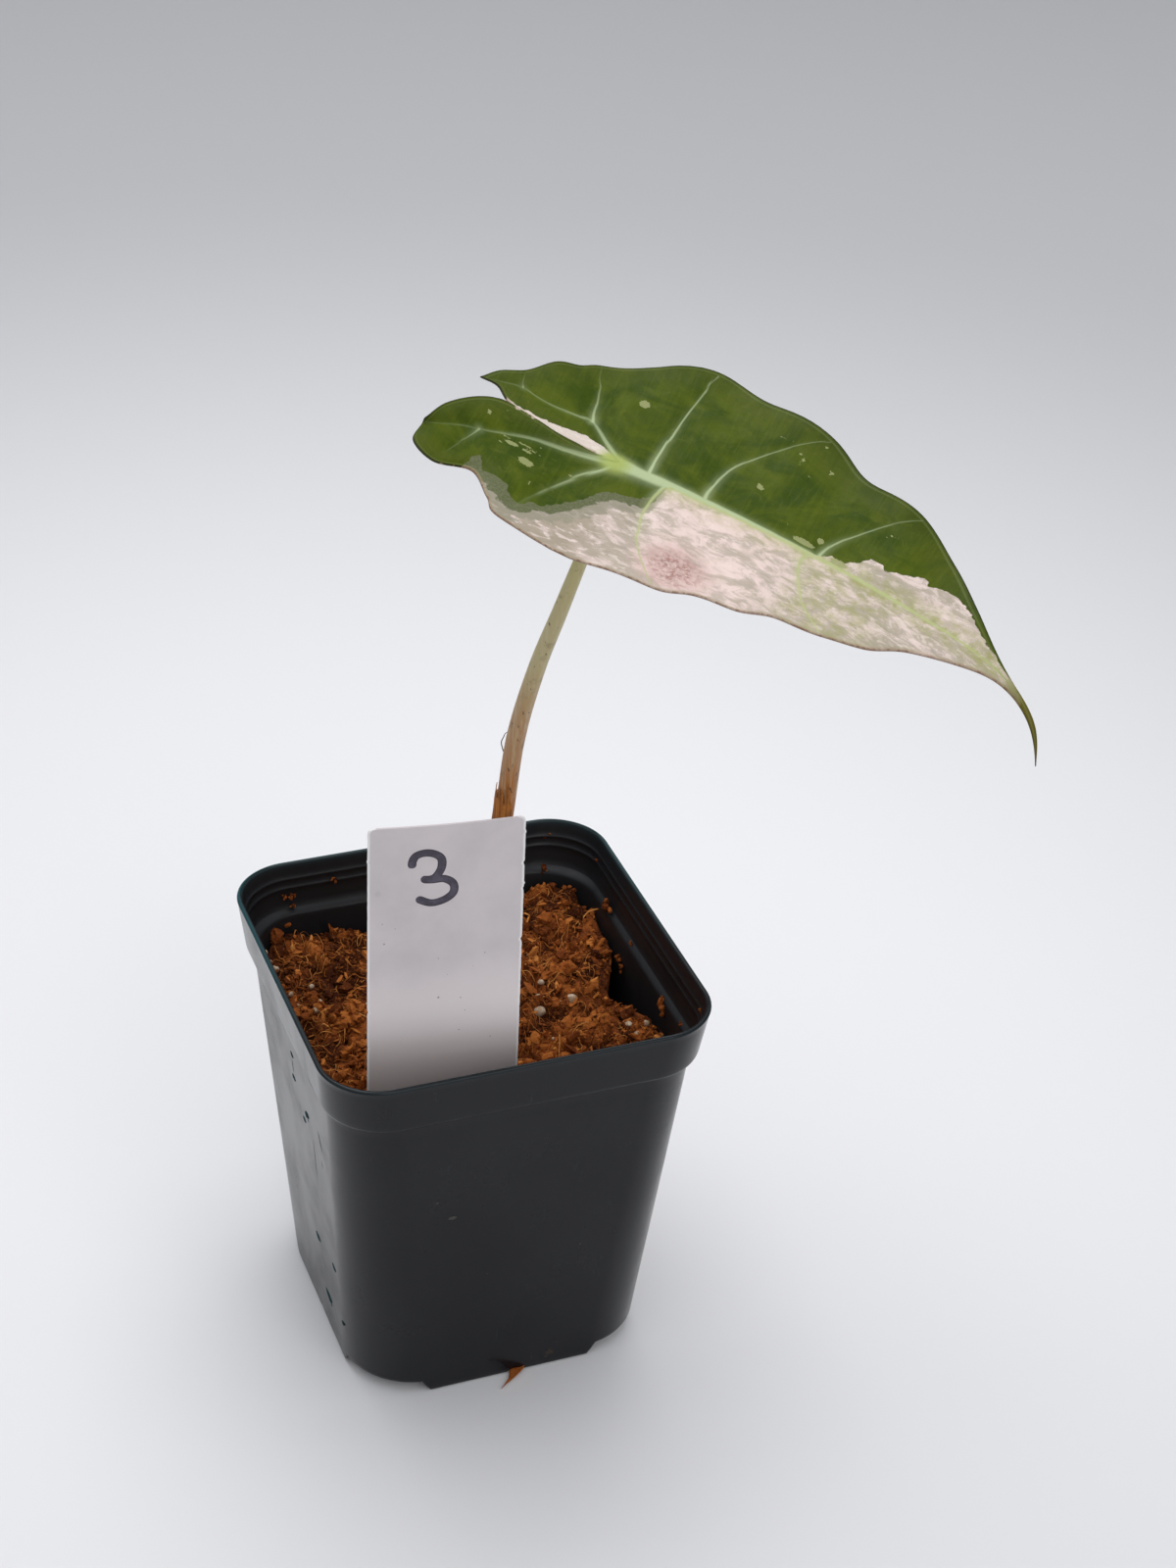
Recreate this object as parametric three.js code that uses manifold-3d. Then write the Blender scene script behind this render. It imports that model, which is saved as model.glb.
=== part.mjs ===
import * as THREE from "three";
import { mergeVertices } from "three/addons/utils/BufferGeometryUtils.js";
import Module from "manifold-3d";

// A young alocasia with one leaf, standing in coir potting mix in a square nursery pot with a plant label.
// Millimetres and degrees, +Z up. The origin is the middle of the pot's foot, on the surface that it stands on.
// +X and +Y are the square pot's own directions, and -Y is the side where the label stands.

// Pot
const potSide = 90; // across the lip, flat to flat
const potHeight = 98.2;
const potWall = 1.2;
const footSide = 70.2; // across the foot, flat to flat
const wallTopSide = 84.3; // across the wall, just under the rim band
const bandSide = 87; // across the rim band at its lower edge
const bandBottom = 85.7; // height of the rim band's lower edge
const lipCornerRadius = 13.8;
const footCornerRadius = 16.7;
const cornerRise = 3.2; // the base is raised this much at its corners
const footReach = 19.5; // the middle feet end this far from the pot's middle lines
const footSlant = 1.5; // the feet's ends lean by this much
const drainRadius = 3;
const drainOffset = 26;
const notchWidth = 4;
const notchHeight = 1.3;
const innerRibs = [91.9, 94.2]; // heights of the fine rings inside the band
const ribDepth = 0.3;
const edgeRound = 0.5; // how far the pot's edges are eased

// Potting mix
const seatGap = 0.35; // clearance where two pieces touch
const mixLevel = 79.8;
const mixEdge = 74; // no lower than this at the wall
const mixSwells = [[9, -19, -4.5, 6], [-34, 42, 4, 11], [-13, 42, -2.5, 6], [32, 42, 2.2, 6]]; // [x, y, rise, spread]
const mixShrink = { y: -4, width: 7.5, spread: 10, foot: 52 }; // where the mix has drawn away from the +X wall
const mixWallLevels = [30, 52, 62, 71]; // heights of the rings up the side of the mix
const mixTopShares = [1, 0.95, 0.88, 0.8, 0.71, 0.62, 0.52, 0.42, 0.32, 0.22, 0.12]; // rings in from its rim
const rimFall = 1; // the mix falls this much at its rim
const perlite = [
  [18.7, 4.7], [17.3, 1.4], [15.4, -3.6], [24.2, -2.6], [28.2, -9.1], [31, -17.5], [35.4, -20.5],
  [-36.1, 33], [-36.4, 27], [-36.2, 17.8], [-31.5, 20.4], [-31.2, 13.3], [-33.5, -12.7], [-12, 31], [3, -30],
];
const perliteRadius = 1.15;
const crumbs = { count: 34, reach: 34, smallest: 1.3, largest: 2.4 };

// Plant
const stemFoot = new THREE.Vector3(6.4, 7.9, 74.4); // where the petiole stands on the corm
const petioleWay = [
  [0, 74.4], [0.2, 92], [1.9, 110], [4.3, 130], [6.6, 150], [11.1, 168.5], [16.4, 184.5], [21.7, 200.5],
]; // [reach towards the blade, height], between the foot and the blade
const petioleRadii = [[74.4, 2.9], [82, 2.5], [96, 2.15], [130, 1.95], [150, 2], [169, 1.9], [200, 1.5], [222, 1.55]];
const stemHole = 3; // radius of the plain hole that the petiole stands in
const cormProfile = [[0, 41], [2.2, 41.6], [5.6, 47], [7.8, 56], [7.2, 65], [4.6, 71], [3.4, 74], [0, 74]];
const rootTurns = [15, 75, 140, 205, 335];
const rootWay = [[4, 52], [11, 47], [17, 38], [21, 26]]; // [reach, height]
const rootRadius = 1.1;
const sheath = { bottom: 82.5, top: 149, inner: 0.3, thick: 0.6, wrap: 195, topWrap: 121, facing: 195, bumps: 0.25 };
const sheathFray = [0, -9, -3, -12, 0, -6, -2, -11, -16]; // the top edge's height round the wrap

// Leaf blade. A place on it is given flat, as u along the midrib from the petiole and v across, far side positive.
const bladeJoint = new THREE.Vector3(24.3, -14.8, 222.2);
const bladeThickness = 0.8;
const bladeHeading = -33.6; // compass turn of the midrib at the petiole, from +X
const headingTurn = -0.22; // change of heading per millimetre towards the tip
const bladeSlope = 17; // fall of the midrib
const tipDroop = { extra: 75, at: 96, over: 6 }; // the tip turns down near u = at
const lobeRise = 15 / 45; // the lobes rise this much per millimetre behind the petiole
const bladeRoll = { start: 5.6, gain: 0.026 };
const bladeFold = { start: -7.9, gain: 0.17 };
const bladeCurl = 0.009; // how fast each half turns up towards its margin, in radians per millimetre
const marginWave = { height: 1.1, length: 25 };
const quiltHeight = 0.7;
const veinRidge = { top: 0.35, under: 0.45 };
const midribRidge = { top: 0.45, under: 0.85 };
// Rows of the blade run from its spine to its margin: s is where a row leaves the spine, edge is where it ends, and
// inner, behind the petiole, is where the row's other end meets the inner margin of the lobe.
const farRows = [
  { s: -33.2, edge: [-33.2, 6.5], inner: [-33.2, 6.5] },
  { s: -28, edge: [-30.6, 12], inner: [-30.6, 3.6] },
  { s: -23, edge: [-25.9, 16.8], inner: [-26, 0.9] },
  { s: -18, edge: [-21.6, 23.6], inner: [-20.5, 0.6] },
  { s: -13, edge: [-16.9, 27.4], inner: [-15, 0.5] },
  { s: -8, edge: [-12.5, 31.9], inner: [-9, 0.5], vein: true },
  { s: 0, edge: [-2.5, 36.8], inner: [-3, 0] },
  { s: 6, edge: [9.7, 41.8], vein: true },
  { s: 12, edge: [21.4, 37.4] },
  { s: 18.5, edge: [34.7, 34.2], vein: true },
  { s: 30, edge: [44.6, 27.2] },
  { s: 44, edge: [57.7, 23.7], vein: true },
  { s: 55, edge: [67, 17.4] },
  { s: 66, edge: [75.8, 9.2], vein: true },
  { s: 77, edge: [83.6, 3.9] },
  { s: 88, edge: [91.3, 1.1] },
  { s: 99, edge: [100.7, 0.9] },
  { s: 108, edge: [108.6, 0] },
];
const nearRows = [
  { s: -38, edge: [-38, -18.5], inner: [-38, -18.5] },
  { s: -34, edge: [-37.7, -26.1], inner: [-35.6, -9.5] },
  { s: -28, edge: [-32.5, -28.2], inner: [-30, -2.2], vein: true },
  { s: -20, edge: [-25.2, -23.3], inner: [-21, -0.6] },
  { s: -10, edge: [-20.1, -29.8], inner: [-10.5, -0.5] },
  { s: 0, edge: [-15.9, -35.4], inner: [-3, 0], vein: true },
  { s: 4, edge: [2, -37] },
  { s: 8.7, edge: [18.8, -36], vein: true },
  { s: 14, edge: [27, -31.8] },
  { s: 20, edge: [36.8, -31.2], vein: true },
  { s: 30, edge: [44.6, -25.4] },
  { s: 41.5, edge: [55.2, -24.1], vein: true },
  { s: 51, edge: [63.8, -20.5] },
  { s: 62, edge: [70.6, -12.4], vein: true },
  { s: 74, edge: [80.9, -6.4] },
  { s: 84, edge: [88.5, -2.8] },
  { s: 96, edge: [98, -0.7] },
  { s: 108, edge: [108.6, 0] },
];
const farCosta = [[-33.2, 6.5], [-30, 9.2], [-25, 10.2], [-14, 10.2], [-7, 8.4], [0, 0]];
const nearCosta = [[-38, -18.5], [-34, -15.2], [-30, -12], [-24, -7.8], [-14, -4.4], [-7, -2.8], [0, 0]];
const lobeOverlap = 1.1; // the near lobe's inner margin stands this much above the far one's
const rowBow = { ahead: 0.27, behind: -0.21 }; // how far the rows bow back from the tip, as a share of their reach
const besideVein = 0.16; // the rows beside a vein lie this share of a row away from it
const rowColumns = [0, 0.04, 0.16, 0.34, 0.54, 0.74, 0.9, 1]; // places along a row, from spine to margin
const lobeColumns = [0, 0.16, 0.55, 1]; // places from a lobe's rib to its inner margin

// Label
const label = { width: 32.9, length: 100, thickness: 0.6, corner: 1.2, top: 155.1, turn: -8.1, middle: [-16.9, -32.3] };

const wasm = await Module();
wasm.setup();

const radians = THREE.MathUtils.degToRad;
const mix = THREE.MathUtils.lerp;

// Random numbers from 0 to 1 that are the same on every run.
function seeded(seed) {
  let state = seed;
  return () => {
    state = (Math.imul(state, 1664525) + 1013904223) >>> 0;
    return state / 4294967296;
  };
}

// The value at x on straight stretches through a list of [x, value] pairs.
function along(pairs, x) {
  const after = pairs.findIndex((p) => p[0] >= x);
  if (after < 0) return pairs[pairs.length - 1][1];
  if (after === 0) return pairs[0][1];
  const [x0, y0] = pairs[after - 1];
  const [x1, y1] = pairs[after];
  return mix(y0, y1, (x - x0) / (x1 - x0));
}

function solidOf(geometry) {
  const bare = geometry.clone();
  bare.deleteAttribute("normal");
  bare.deleteAttribute("uv");
  const merged = mergeVertices(bare, 1e-4);
  return new wasm.Manifold(
    new wasm.Mesh({
      numProp: 3,
      vertProperties: new Float32Array(merged.attributes.position.array),
      triVerts: new Uint32Array(merged.index.array),
    }),
  );
}

function geometryOf(solid) {
  const mesh = solid.getMesh();
  const geometry = new THREE.BufferGeometry();
  geometry.setAttribute("position", new THREE.BufferAttribute(new Float32Array(mesh.vertProperties), 3));
  geometry.setIndex(new THREE.BufferAttribute(new Uint32Array(mesh.triVerts), 1));
  const flat = geometry.toNonIndexed();
  flat.computeVertexNormals();
  return flat;
}

// The largest body of a solid, without any scrap that a cut leaves loose.
function largestBody(solid) {
  return solid.decompose().sort((a, b) => b.volume() - a.volume())[0];
}

function geometryFrom(points, triangles) {
  const geometry = new THREE.BufferGeometry();
  geometry.setAttribute("position", new THREE.Float32BufferAttribute(points.flatMap((p) => p.toArray()), 3));
  geometry.setIndex(triangles.flat());
  return geometry;
}

// A closed body through rings of equal point count, with a flat or pointed cap at each end.
function loft(rings) {
  const count = rings[0].length;
  const points = rings.flat();
  const triangles = [];
  for (let k = 0; k + 1 < rings.length; k++)
    for (let i = 0; i < count; i++) {
      const a = k * count + i;
      const b = k * count + ((i + 1) % count);
      triangles.push([a, b, b + count], [a, b + count, a + count]);
    }
  const middleOf = (ring) => ring.reduce((sum, p) => sum.add(p), new THREE.Vector3()).divideScalar(count);
  const first = points.push(middleOf(rings[0])) - 1;
  const last = points.push(middleOf(rings[rings.length - 1])) - 1;
  const top = (rings.length - 1) * count;
  for (let i = 0; i < count; i++) {
    const next = (i + 1) % count;
    triangles.push([first, next, i], [last, top + i, top + next]);
  }
  return geometryFrom(points, triangles);
}

// A square ring with round corners, counterclockwise seen from above.
function squareRing(half, radius, z, cornerSteps = 6, sideSteps = 2) {
  const ring = [];
  const inset = half - radius;
  for (let quarter = 0; quarter < 4; quarter++) {
    const turn = (quarter * Math.PI) / 2;
    const corner = new THREE.Vector3(inset, inset, z);
    for (let i = 0; i <= cornerSteps; i++) {
      const angle = (i / cornerSteps) * (Math.PI / 2);
      const p = corner.clone().add(new THREE.Vector3(radius * Math.cos(angle), radius * Math.sin(angle), 0));
      ring.push(p.applyAxisAngle(new THREE.Vector3(0, 0, 1), turn));
    }
    for (let i = 1; i < sideSteps; i++) {
      const p = new THREE.Vector3(mix(inset, -inset, i / sideSteps), half, z);
      ring.push(p.applyAxisAngle(new THREE.Vector3(0, 0, 1), turn));
    }
  }
  return ring;
}

// A round tube of varying radius along a curve.
function taperedTube(curve, radiusAt, steps, sides) {
  const frames = curve.computeFrenetFrames(steps, false);
  const rings = [];
  for (let k = 0; k <= steps; k++) {
    const middle = curve.getPointAt(k / steps);
    const radius = radiusAt(middle, k / steps);
    rings.push(
      Array.from({ length: sides }, (_, i) => {
        const angle = (2 * Math.PI * i) / sides;
        return middle
          .clone()
          .addScaledVector(frames.normals[k], radius * Math.cos(angle))
          .addScaledVector(frames.binormals[k], radius * Math.sin(angle));
      }),
    );
  }
  return loft(rings);
}

// Pot

const cornerRadiusAt = (z) => mix(footCornerRadius, lipCornerRadius, z / potHeight);
const outerWallAt = (z) => mix(footSide, wallTopSide, z / bandBottom) / 2;
const innerWallAt = (z) => outerWallAt(z) - potWall;
const innerBandAt = (z) => mix(bandSide, potSide, (z - bandBottom) / (potHeight - bandBottom)) / 2 - potWall;

function outerPot() {
  const stations = [
    [0, outerWallAt(0) - edgeRound],
    [edgeRound, outerWallAt(edgeRound)],
    [bandBottom, wallTopSide / 2],
    [bandBottom + edgeRound, bandSide / 2],
    [potHeight - edgeRound, potSide / 2],
    [potHeight, (potSide - edgeRound) / 2],
  ];
  return solidOf(loft(stations.map(([z, half]) => squareRing(half, cornerRadiusAt(z), z))));
}

function potCavity() {
  const ledge = bandBottom + edgeRound;
  const stations = [
    [potWall, innerWallAt(potWall)],
    [ledge - edgeRound, innerWallAt(ledge - edgeRound)],
    [ledge, innerBandAt(ledge)],
  ];
  for (const z of innerRibs)
    for (const [off, depth] of [
      [-edgeRound, 0],
      [0, ribDepth],
      [edgeRound, 0],
    ])
      stations.push([z + off, innerBandAt(z + off) - depth]);
  const top = potHeight - edgeRound;
  stations.push([top, innerBandAt(top)], [potHeight + edgeRound, innerBandAt(top) + edgeRound]);
  return solidOf(
    loft(stations.map(([z, half]) => squareRing(half, Math.max(cornerRadiusAt(z) - potWall, 1), z))),
  );
}

// The space under the raised corners, or with a margin the same blocks grown by it.
function raisedCorners(margin) {
  const top = cornerRise + margin;
  const low = -5;
  const far = 60;
  const blocks = [0, 1, 2, 3].map((quarter) => {
    const ring = (near, z) =>
      [
        [near, near],
        [far, near],
        [far, far],
        [near, far],
      ].map(([x, y]) =>
        new THREE.Vector3(x, y, z).applyAxisAngle(new THREE.Vector3(0, 0, 1), (quarter * Math.PI) / 2),
      );
    const footEnd = footReach - margin;
    return solidOf(loft([ring(footEnd, low), ring(footEnd, 0), ring(footEnd + footSlant, top)]));
  });
  return blocks.reduce((all, block) => all.add(block));
}

function drainCuts() {
  const cuts = [];
  for (const x of [-drainOffset, drainOffset])
    for (const y of [-drainOffset, drainOffset]) {
      const hole = new THREE.CylinderGeometry(drainRadius, drainRadius, 8, 14).rotateX(Math.PI / 2);
      cuts.push(solidOf(hole.translate(x, y, cornerRise)));
    }
  for (let side = 0; side < 4; side++) {
    const notch = new THREE.BoxGeometry(notchWidth, 7, 2 * notchHeight);
    cuts.push(solidOf(notch.translate(1.2, -footSide / 2, 0).rotateZ((side * Math.PI) / 2)));
  }
  return cuts.reduce((all, cut) => all.add(cut));
}

function makePot() {
  const shell = outerPot().subtract(raisedCorners(0));
  const cavity = potCavity().subtract(raisedCorners(potWall));
  return geometryOf(shell.subtract(cavity).subtract(drainCuts()));
}

// Plant

// The blade's middle line and its frame (along, across, up), walked in short steps from the petiole both ways.
const spineStep = 0.5;
const spineFrames = new Map();

function spineFrameAt(u) {
  const s = Math.max(u, 0);
  const droop = tipDroop.extra / (1 + Math.exp(-(u - tipDroop.at) / tipDroop.over));
  const slope = radians(bladeSlope + droop + lobeRise * Math.max(-u, 0));
  const heading = radians(bladeHeading + headingTurn * s);
  const roll = radians(bladeRoll.start + bladeRoll.gain * s);
  const level = new THREE.Vector3(Math.cos(heading), Math.sin(heading), 0);
  const ahead = level.clone().multiplyScalar(Math.cos(slope)).add(new THREE.Vector3(0, 0, -Math.sin(slope)));
  const left = new THREE.Vector3(-level.y, level.x, 0);
  const over = ahead.clone().cross(left);
  const across = left.multiplyScalar(Math.cos(roll)).addScaledVector(over, Math.sin(roll));
  return { ahead, across, up: ahead.clone().cross(across) };
}

for (const way of [-1, 1]) {
  const middle = bladeJoint.clone();
  for (let k = 0; k <= 240; k++) {
    const u = way * k * spineStep;
    const frame = spineFrameAt(u);
    if (k) middle.addScaledVector(spineFrameAt(u - (way * spineStep) / 2).ahead, way * spineStep);
    spineFrames.set(way * k, { ...frame, middle: middle.clone() });
  }
}

function spineAt(u) {
  const k = Math.floor(u / spineStep);
  const share = u / spineStep - k;
  const a = spineFrames.get(k || 0);
  const b = spineFrames.get(k + 1 || 0);
  const between = (name) => a[name].clone().lerp(b[name], share);
  return { middle: between("middle"), across: between("across").normalize(), up: between("up").normalize() };
}

// The blade's surface with each half bent along an arc that starts at the fold angle and curls up to its margin.
function bladeSurface(u, v) {
  const frame = spineAt(u);
  const fold = radians(bladeFold.start + bladeFold.gain * Math.max(u, 0));
  const end = fold + bladeCurl * Math.abs(v);
  const sideways = (Math.sin(end) - Math.sin(fold)) / bladeCurl;
  const upwards = (Math.cos(fold) - Math.cos(end)) / bladeCurl;
  return frame.middle.addScaledVector(frame.across, Math.sign(v) * sideways).addScaledVector(frame.up, upwards);
}

function bladeNormal(u, v) {
  const d = 0.25;
  const du = bladeSurface(u + d, v).sub(bladeSurface(u - d, v));
  const dv = bladeSurface(u, v + d).sub(bladeSurface(u, v - d));
  return du.cross(dv).normalize();
}

// One half of the blade as rows from spine to margin, at places between the listed rows.
function halfBlade(rows, costa) {
  const edgeCurve = new THREE.CatmullRomCurve3(rows.map((r) => new THREE.Vector3(r.s, ...r.edge)), false, "catmullrom");
  const lobeRows = rows.filter((r) => r.inner);
  const innerCurve = new THREE.CatmullRomCurve3(
    lobeRows.map((r) => new THREE.Vector3(r.s, ...r.inner)),
    false,
    "catmullrom",
  );
  const veins = rows.flatMap((r, i) => (r.vein ? [i] : []));
  const spinePoint = (s) => (s < 0 ? [s, along(costa, s)] : [s, 0]);
  const rowAt = (place) => {
    const { x: s, y: edgeU, z: edgeV } = edgeCurve.getPoint(place / (rows.length - 1));
    const start = spinePoint(Math.min(s, rows[rows.length - 1].s));
    const reach = edgeU - s;
    const bow = (reach > 0 ? rowBow.ahead : rowBow.behind) * reach * THREE.MathUtils.smoothstep(s, -10, 0);
    return { s, start, edge: [edgeU, edgeV], bow };
  };
  return { rows, veins, lobeCount: lobeRows.length, rowAt, innerCurve };
}

// The places of the rows that are meshed: each listed row, one between, and a close pair beside each vein.
function meshedPlaces(half) {
  const places = new Set();
  half.rows.forEach((_, i) => {
    places.add(i);
    if (i + 1 < half.rows.length) places.add(i + 0.5);
  });
  for (const i of half.veins) {
    places.add(i - besideVein);
    places.add(i + besideVein);
  }
  return [...places].sort((a, b) => a - b);
}

// How much the blade swells between its veins, from 0 on a vein to 1 half way to the next.
function quiltAt(half, place) {
  const stops = [0, ...half.veins, half.rows.length - 1];
  const after = Math.max(1, stops.findIndex((stop) => stop > place));
  if (place >= half.rows.length - 1) return 0;
  const share = (place - stops[after - 1]) / (stops[after] - stops[after - 1]);
  return Math.sin(Math.PI * share);
}

function makeBlade() {
  const points = []; // places on the flat blade with their lift and the ridges' heights
  const keys = new Map();
  const triangles = [];
  const pointAt = (u, v, extra) => {
    const key = u.toFixed(3) + " " + v.toFixed(3);
    if (!keys.has(key)) {
      keys.set(key, points.length);
      points.push({ u, v, ...extra });
    }
    return keys.get(key);
  };
  const quad = (a, b, c, d, flip) => {
    for (const t of [[a, b, c], [a, c, d]]) {
      if (t[0] === t[1] || t[1] === t[2] || t[0] === t[2]) continue;
      triangles.push(flip ? [t[0], t[2], t[1]] : t);
    }
  };
  for (const [rows, costa, sign] of [
    [farRows, farCosta, 1],
    [nearRows, nearCosta, -1],
  ]) {
    const half = halfBlade(rows, costa);
    const places = meshedPlaces(half);
    const outer = places.map((place) => {
      const row = half.rowAt(place);
      const vein = half.veins.includes(place) ? 1 : 0;
      return rowColumns.map((w) => {
        const u = mix(row.start[0], row.edge[0], w) - row.bow * 4 * w * (1 - w);
        const v = mix(row.start[1], row.edge[1], w);
        const fade = Math.min(1, Math.hypot(row.edge[0] - row.start[0], row.edge[1]) / 16);
        const wave = marginWave.height * fade * w ** 3 * Math.sin((2 * Math.PI * u) / marginWave.length + sign);
        const lift = wave + quiltHeight * fade * quiltAt(half, place) * 4 * w * (1 - w);
        const rib = w === 0 ? fade * mix(1, 0.3, Math.abs(row.s) / 110) : 0;
        return pointAt(u, v, { lift, rib, vein: vein * fade * (1 - w) });
      });
    });
    for (let k = 0; k + 1 < outer.length; k++)
      for (let i = 0; i + 1 < rowColumns.length; i++)
        quad(outer[k][i], outer[k + 1][i], outer[k + 1][i + 1], outer[k][i + 1], sign < 0);

    const lobePlaces = places.filter((place) => place <= half.lobeCount - 1);
    const strip = lobePlaces.map((place, k) => {
      const inner = half.innerCurve.getPoint(place / (half.lobeCount - 1));
      const row = half.rowAt(place);
      return lobeColumns.map((w, i) => {
        if (i === 0) return outer[k][0];
        const u = mix(row.start[0], inner.y, w);
        const v = mix(row.start[1], inner.z, w);
        const overlap = sign < 0 ? lobeOverlap * w * THREE.MathUtils.smoothstep(-row.s, 0, 9) : 0;
        return pointAt(u, v, { lift: overlap, rib: 0, vein: 0 });
      });
    });
    for (let k = 0; k + 1 < strip.length; k++)
      for (let i = 0; i + 1 < lobeColumns.length; i++)
        quad(strip[k][i], strip[k + 1][i], strip[k + 1][i + 1], strip[k][i + 1], sign > 0);
  }

  const upper = [];
  const under = [];
  for (const p of points) {
    const normal = bladeNormal(p.u, p.v);
    const middle = bladeSurface(p.u, p.v).addScaledVector(normal, p.lift);
    const above = bladeThickness / 2 + midribRidge.top * p.rib + veinRidge.top * p.vein;
    const below = bladeThickness / 2 + midribRidge.under * p.rib + veinRidge.under * p.vein;
    upper.push(middle.clone().addScaledVector(normal, above));
    under.push(middle.clone().addScaledVector(normal, -below));
  }
  const count = points.length;
  const faces = triangles.flatMap(([a, b, c]) => [
    [a, b, c],
    [a + count, c + count, b + count],
  ]);
  const edges = new Set(triangles.flatMap(([a, b, c]) => [a + " " + b, b + " " + c, c + " " + a]));
  for (const edge of edges) {
    const [a, b] = edge.split(" ").map(Number);
    if (!edges.has(b + " " + a)) faces.push([a, a + count, b + count], [a, b + count, b]);
  }
  return geometryOf(solidOf(geometryFrom([...upper, ...under], faces)));
}

const bladeUp = bladeNormal(0, 0);
const petioleTop = bladeJoint
  .clone()
  .addScaledVector(bladeUp, -(bladeThickness / 2 + midribRidge.under + seatGap + 0.1));
const reachDirection = petioleTop.clone().sub(stemFoot).setZ(0).normalize();
const petioleRadiusAt = (z) => along(petioleRadii, z);

const petioleCurve = new THREE.CatmullRomCurve3(
  [
    ...petioleWay.map(([reach, z]) => stemFoot.clone().setZ(z).addScaledVector(reachDirection, reach)),
    petioleTop,
  ],
  false,
  "catmullrom",
);

const makePetiole = () => taperedTube(petioleCurve, (p) => petioleRadiusAt(p.z), 20, 10);

// The dry sheath round the lower petiole: a thin wrap, open on one side, that narrows and frays upwards.
function makeSheath() {
  const levels = 8;
  const turns = 8;
  const middleAt = (z) => {
    let low = 0;
    let high = 1;
    for (let k = 0; k < 30; k++) {
      const t = (low + high) / 2;
      if (petioleCurve.getPoint(t).z < z) low = t;
      else high = t;
    }
    return petioleCurve.getPoint(low);
  };
  const skin = (out) =>
    Array.from({ length: levels + 1 }, (_, k) =>
      Array.from({ length: turns + 1 }, (__, i) => {
        const share = k / levels;
        const z = mix(sheath.bottom, sheath.top + sheathFray[i], share);
        const open = mix(sheath.wrap, sheath.topWrap, share);
        const angle = radians(sheath.facing + (i / turns - 0.5) * open);
        const bump = sheath.bumps * Math.sin(i * 2.1 + k * 1.3) * share;
        const radius = petioleRadiusAt(z) + sheath.inner + Math.max(bump, 0) + out;
        return middleAt(z).add(new THREE.Vector3(radius * Math.cos(angle), radius * Math.sin(angle), 0));
      }),
    );
  const outside = skin(sheath.thick);
  const inside = skin(0);
  const columns = turns + 1;
  const count = (levels + 1) * columns;
  const sheet = [];
  for (let k = 0; k < levels; k++)
    for (let i = 0; i < turns; i++) {
      const a = k * columns + i;
      sheet.push([a, a + 1, a + columns + 1], [a, a + columns + 1, a + columns]);
    }
  const faces = sheet.flatMap(([a, b, c]) => [
    [a, b, c],
    [a + count, c + count, b + count],
  ]);
  const edges = new Set(sheet.flatMap(([a, b, c]) => [a + " " + b, b + " " + c, c + " " + a]));
  for (const edge of edges) {
    const [a, b] = edge.split(" ").map(Number);
    if (!edges.has(b + " " + a)) faces.push([a, a + count, b + count], [a, b + count, b]);
  }
  return geometryOf(solidOf(geometryFrom([...outside.flat(), ...inside.flat()], faces)));
}

// The corm with its thick roots, or with a margin the room that it takes in the mix.
function cormSolid(margin) {
  const profile = cormProfile.map(([r, z], i) => {
    const ends = i === 0 ? -margin : i === cormProfile.length - 1 ? margin : 0;
    return new THREE.Vector2(r ? r + margin : 0, z + (r ? 0 : ends));
  });
  const body = solidOf(new THREE.LatheGeometry(profile, 12).rotateX(Math.PI / 2).translate(stemFoot.x, stemFoot.y, 0));
  return rootTurns.reduce((all, turn, k) => {
    const outwards = new THREE.Vector3(Math.cos(radians(turn)), Math.sin(radians(turn)), 0);
    const way = rootWay.map(([reach, z], i) =>
      new THREE.Vector3(stemFoot.x, stemFoot.y, z - i * k).addScaledVector(outwards, reach),
    );
    if (margin) way.push(way[3].clone().lerp(way[2], -margin / way[3].distanceTo(way[2])));
    const curve = new THREE.CatmullRomCurve3(way, false, "catmullrom");
    return all.add(solidOf(taperedTube(curve, (_, t) => rootRadius * mix(1, 0.6, t) + margin, 6, 6)));
  }, body);
}

// Potting mix

function mixHeight(x, y) {
  const slope = 0.04 * x + 0.02 * y;
  const lumps =
    1.1 * Math.sin(0.23 * x + 1.1) * Math.sin(0.27 * y + 0.4) +
    0.7 * Math.sin(0.51 * x + 0.7 * Math.sin(0.3 * y)) * Math.cos(0.47 * y + 0.3) +
    0.45 * Math.sin(0.93 * x - 0.4 * y) * Math.sin(0.81 * y + 0.35 * x);
  const swellAt = ([cx, cy, rise, spread]) => rise * Math.exp(-((x - cx) ** 2 + (y - cy) ** 2) / spread ** 2);
  return mixSwells.reduce((height, swell) => height + swellAt(swell), mixLevel + slope + lumps);
}

// The outline of the mix at a height: the pot's inner wall less the gap, drawn in where the mix has shrunk.
function mixRing(z, share = 1) {
  const half = innerWallAt(z) - seatGap;
  const ring = squareRing(half, cornerRadiusAt(z) - potWall - seatGap, z, 6, 6);
  const rise = THREE.MathUtils.smoothstep(z, mixShrink.foot, mixLevel);
  return ring.map((p) => {
    const off = (p.y - mixShrink.y) / mixShrink.spread;
    const drawn = mixShrink.width * rise * Math.exp(-off * off);
    return new THREE.Vector3(Math.min(p.x, half - drawn) * share, p.y * share, z);
  });
}

function mixBody() {
  const walls = [potWall + seatGap, ...mixWallLevels].map((z) => mixRing(z));
  const top = mixTopShares.map((share) =>
    mixRing(share === 1 ? mixEdge : mixLevel, share).map((p) => {
      const fall = share === 1 ? rimFall : 0;
      return p.setZ(Math.max(mixEdge, mixHeight(p.x, p.y) - fall));
    }),
  );
  return solidOf(loft([...walls, ...top]));
}

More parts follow.
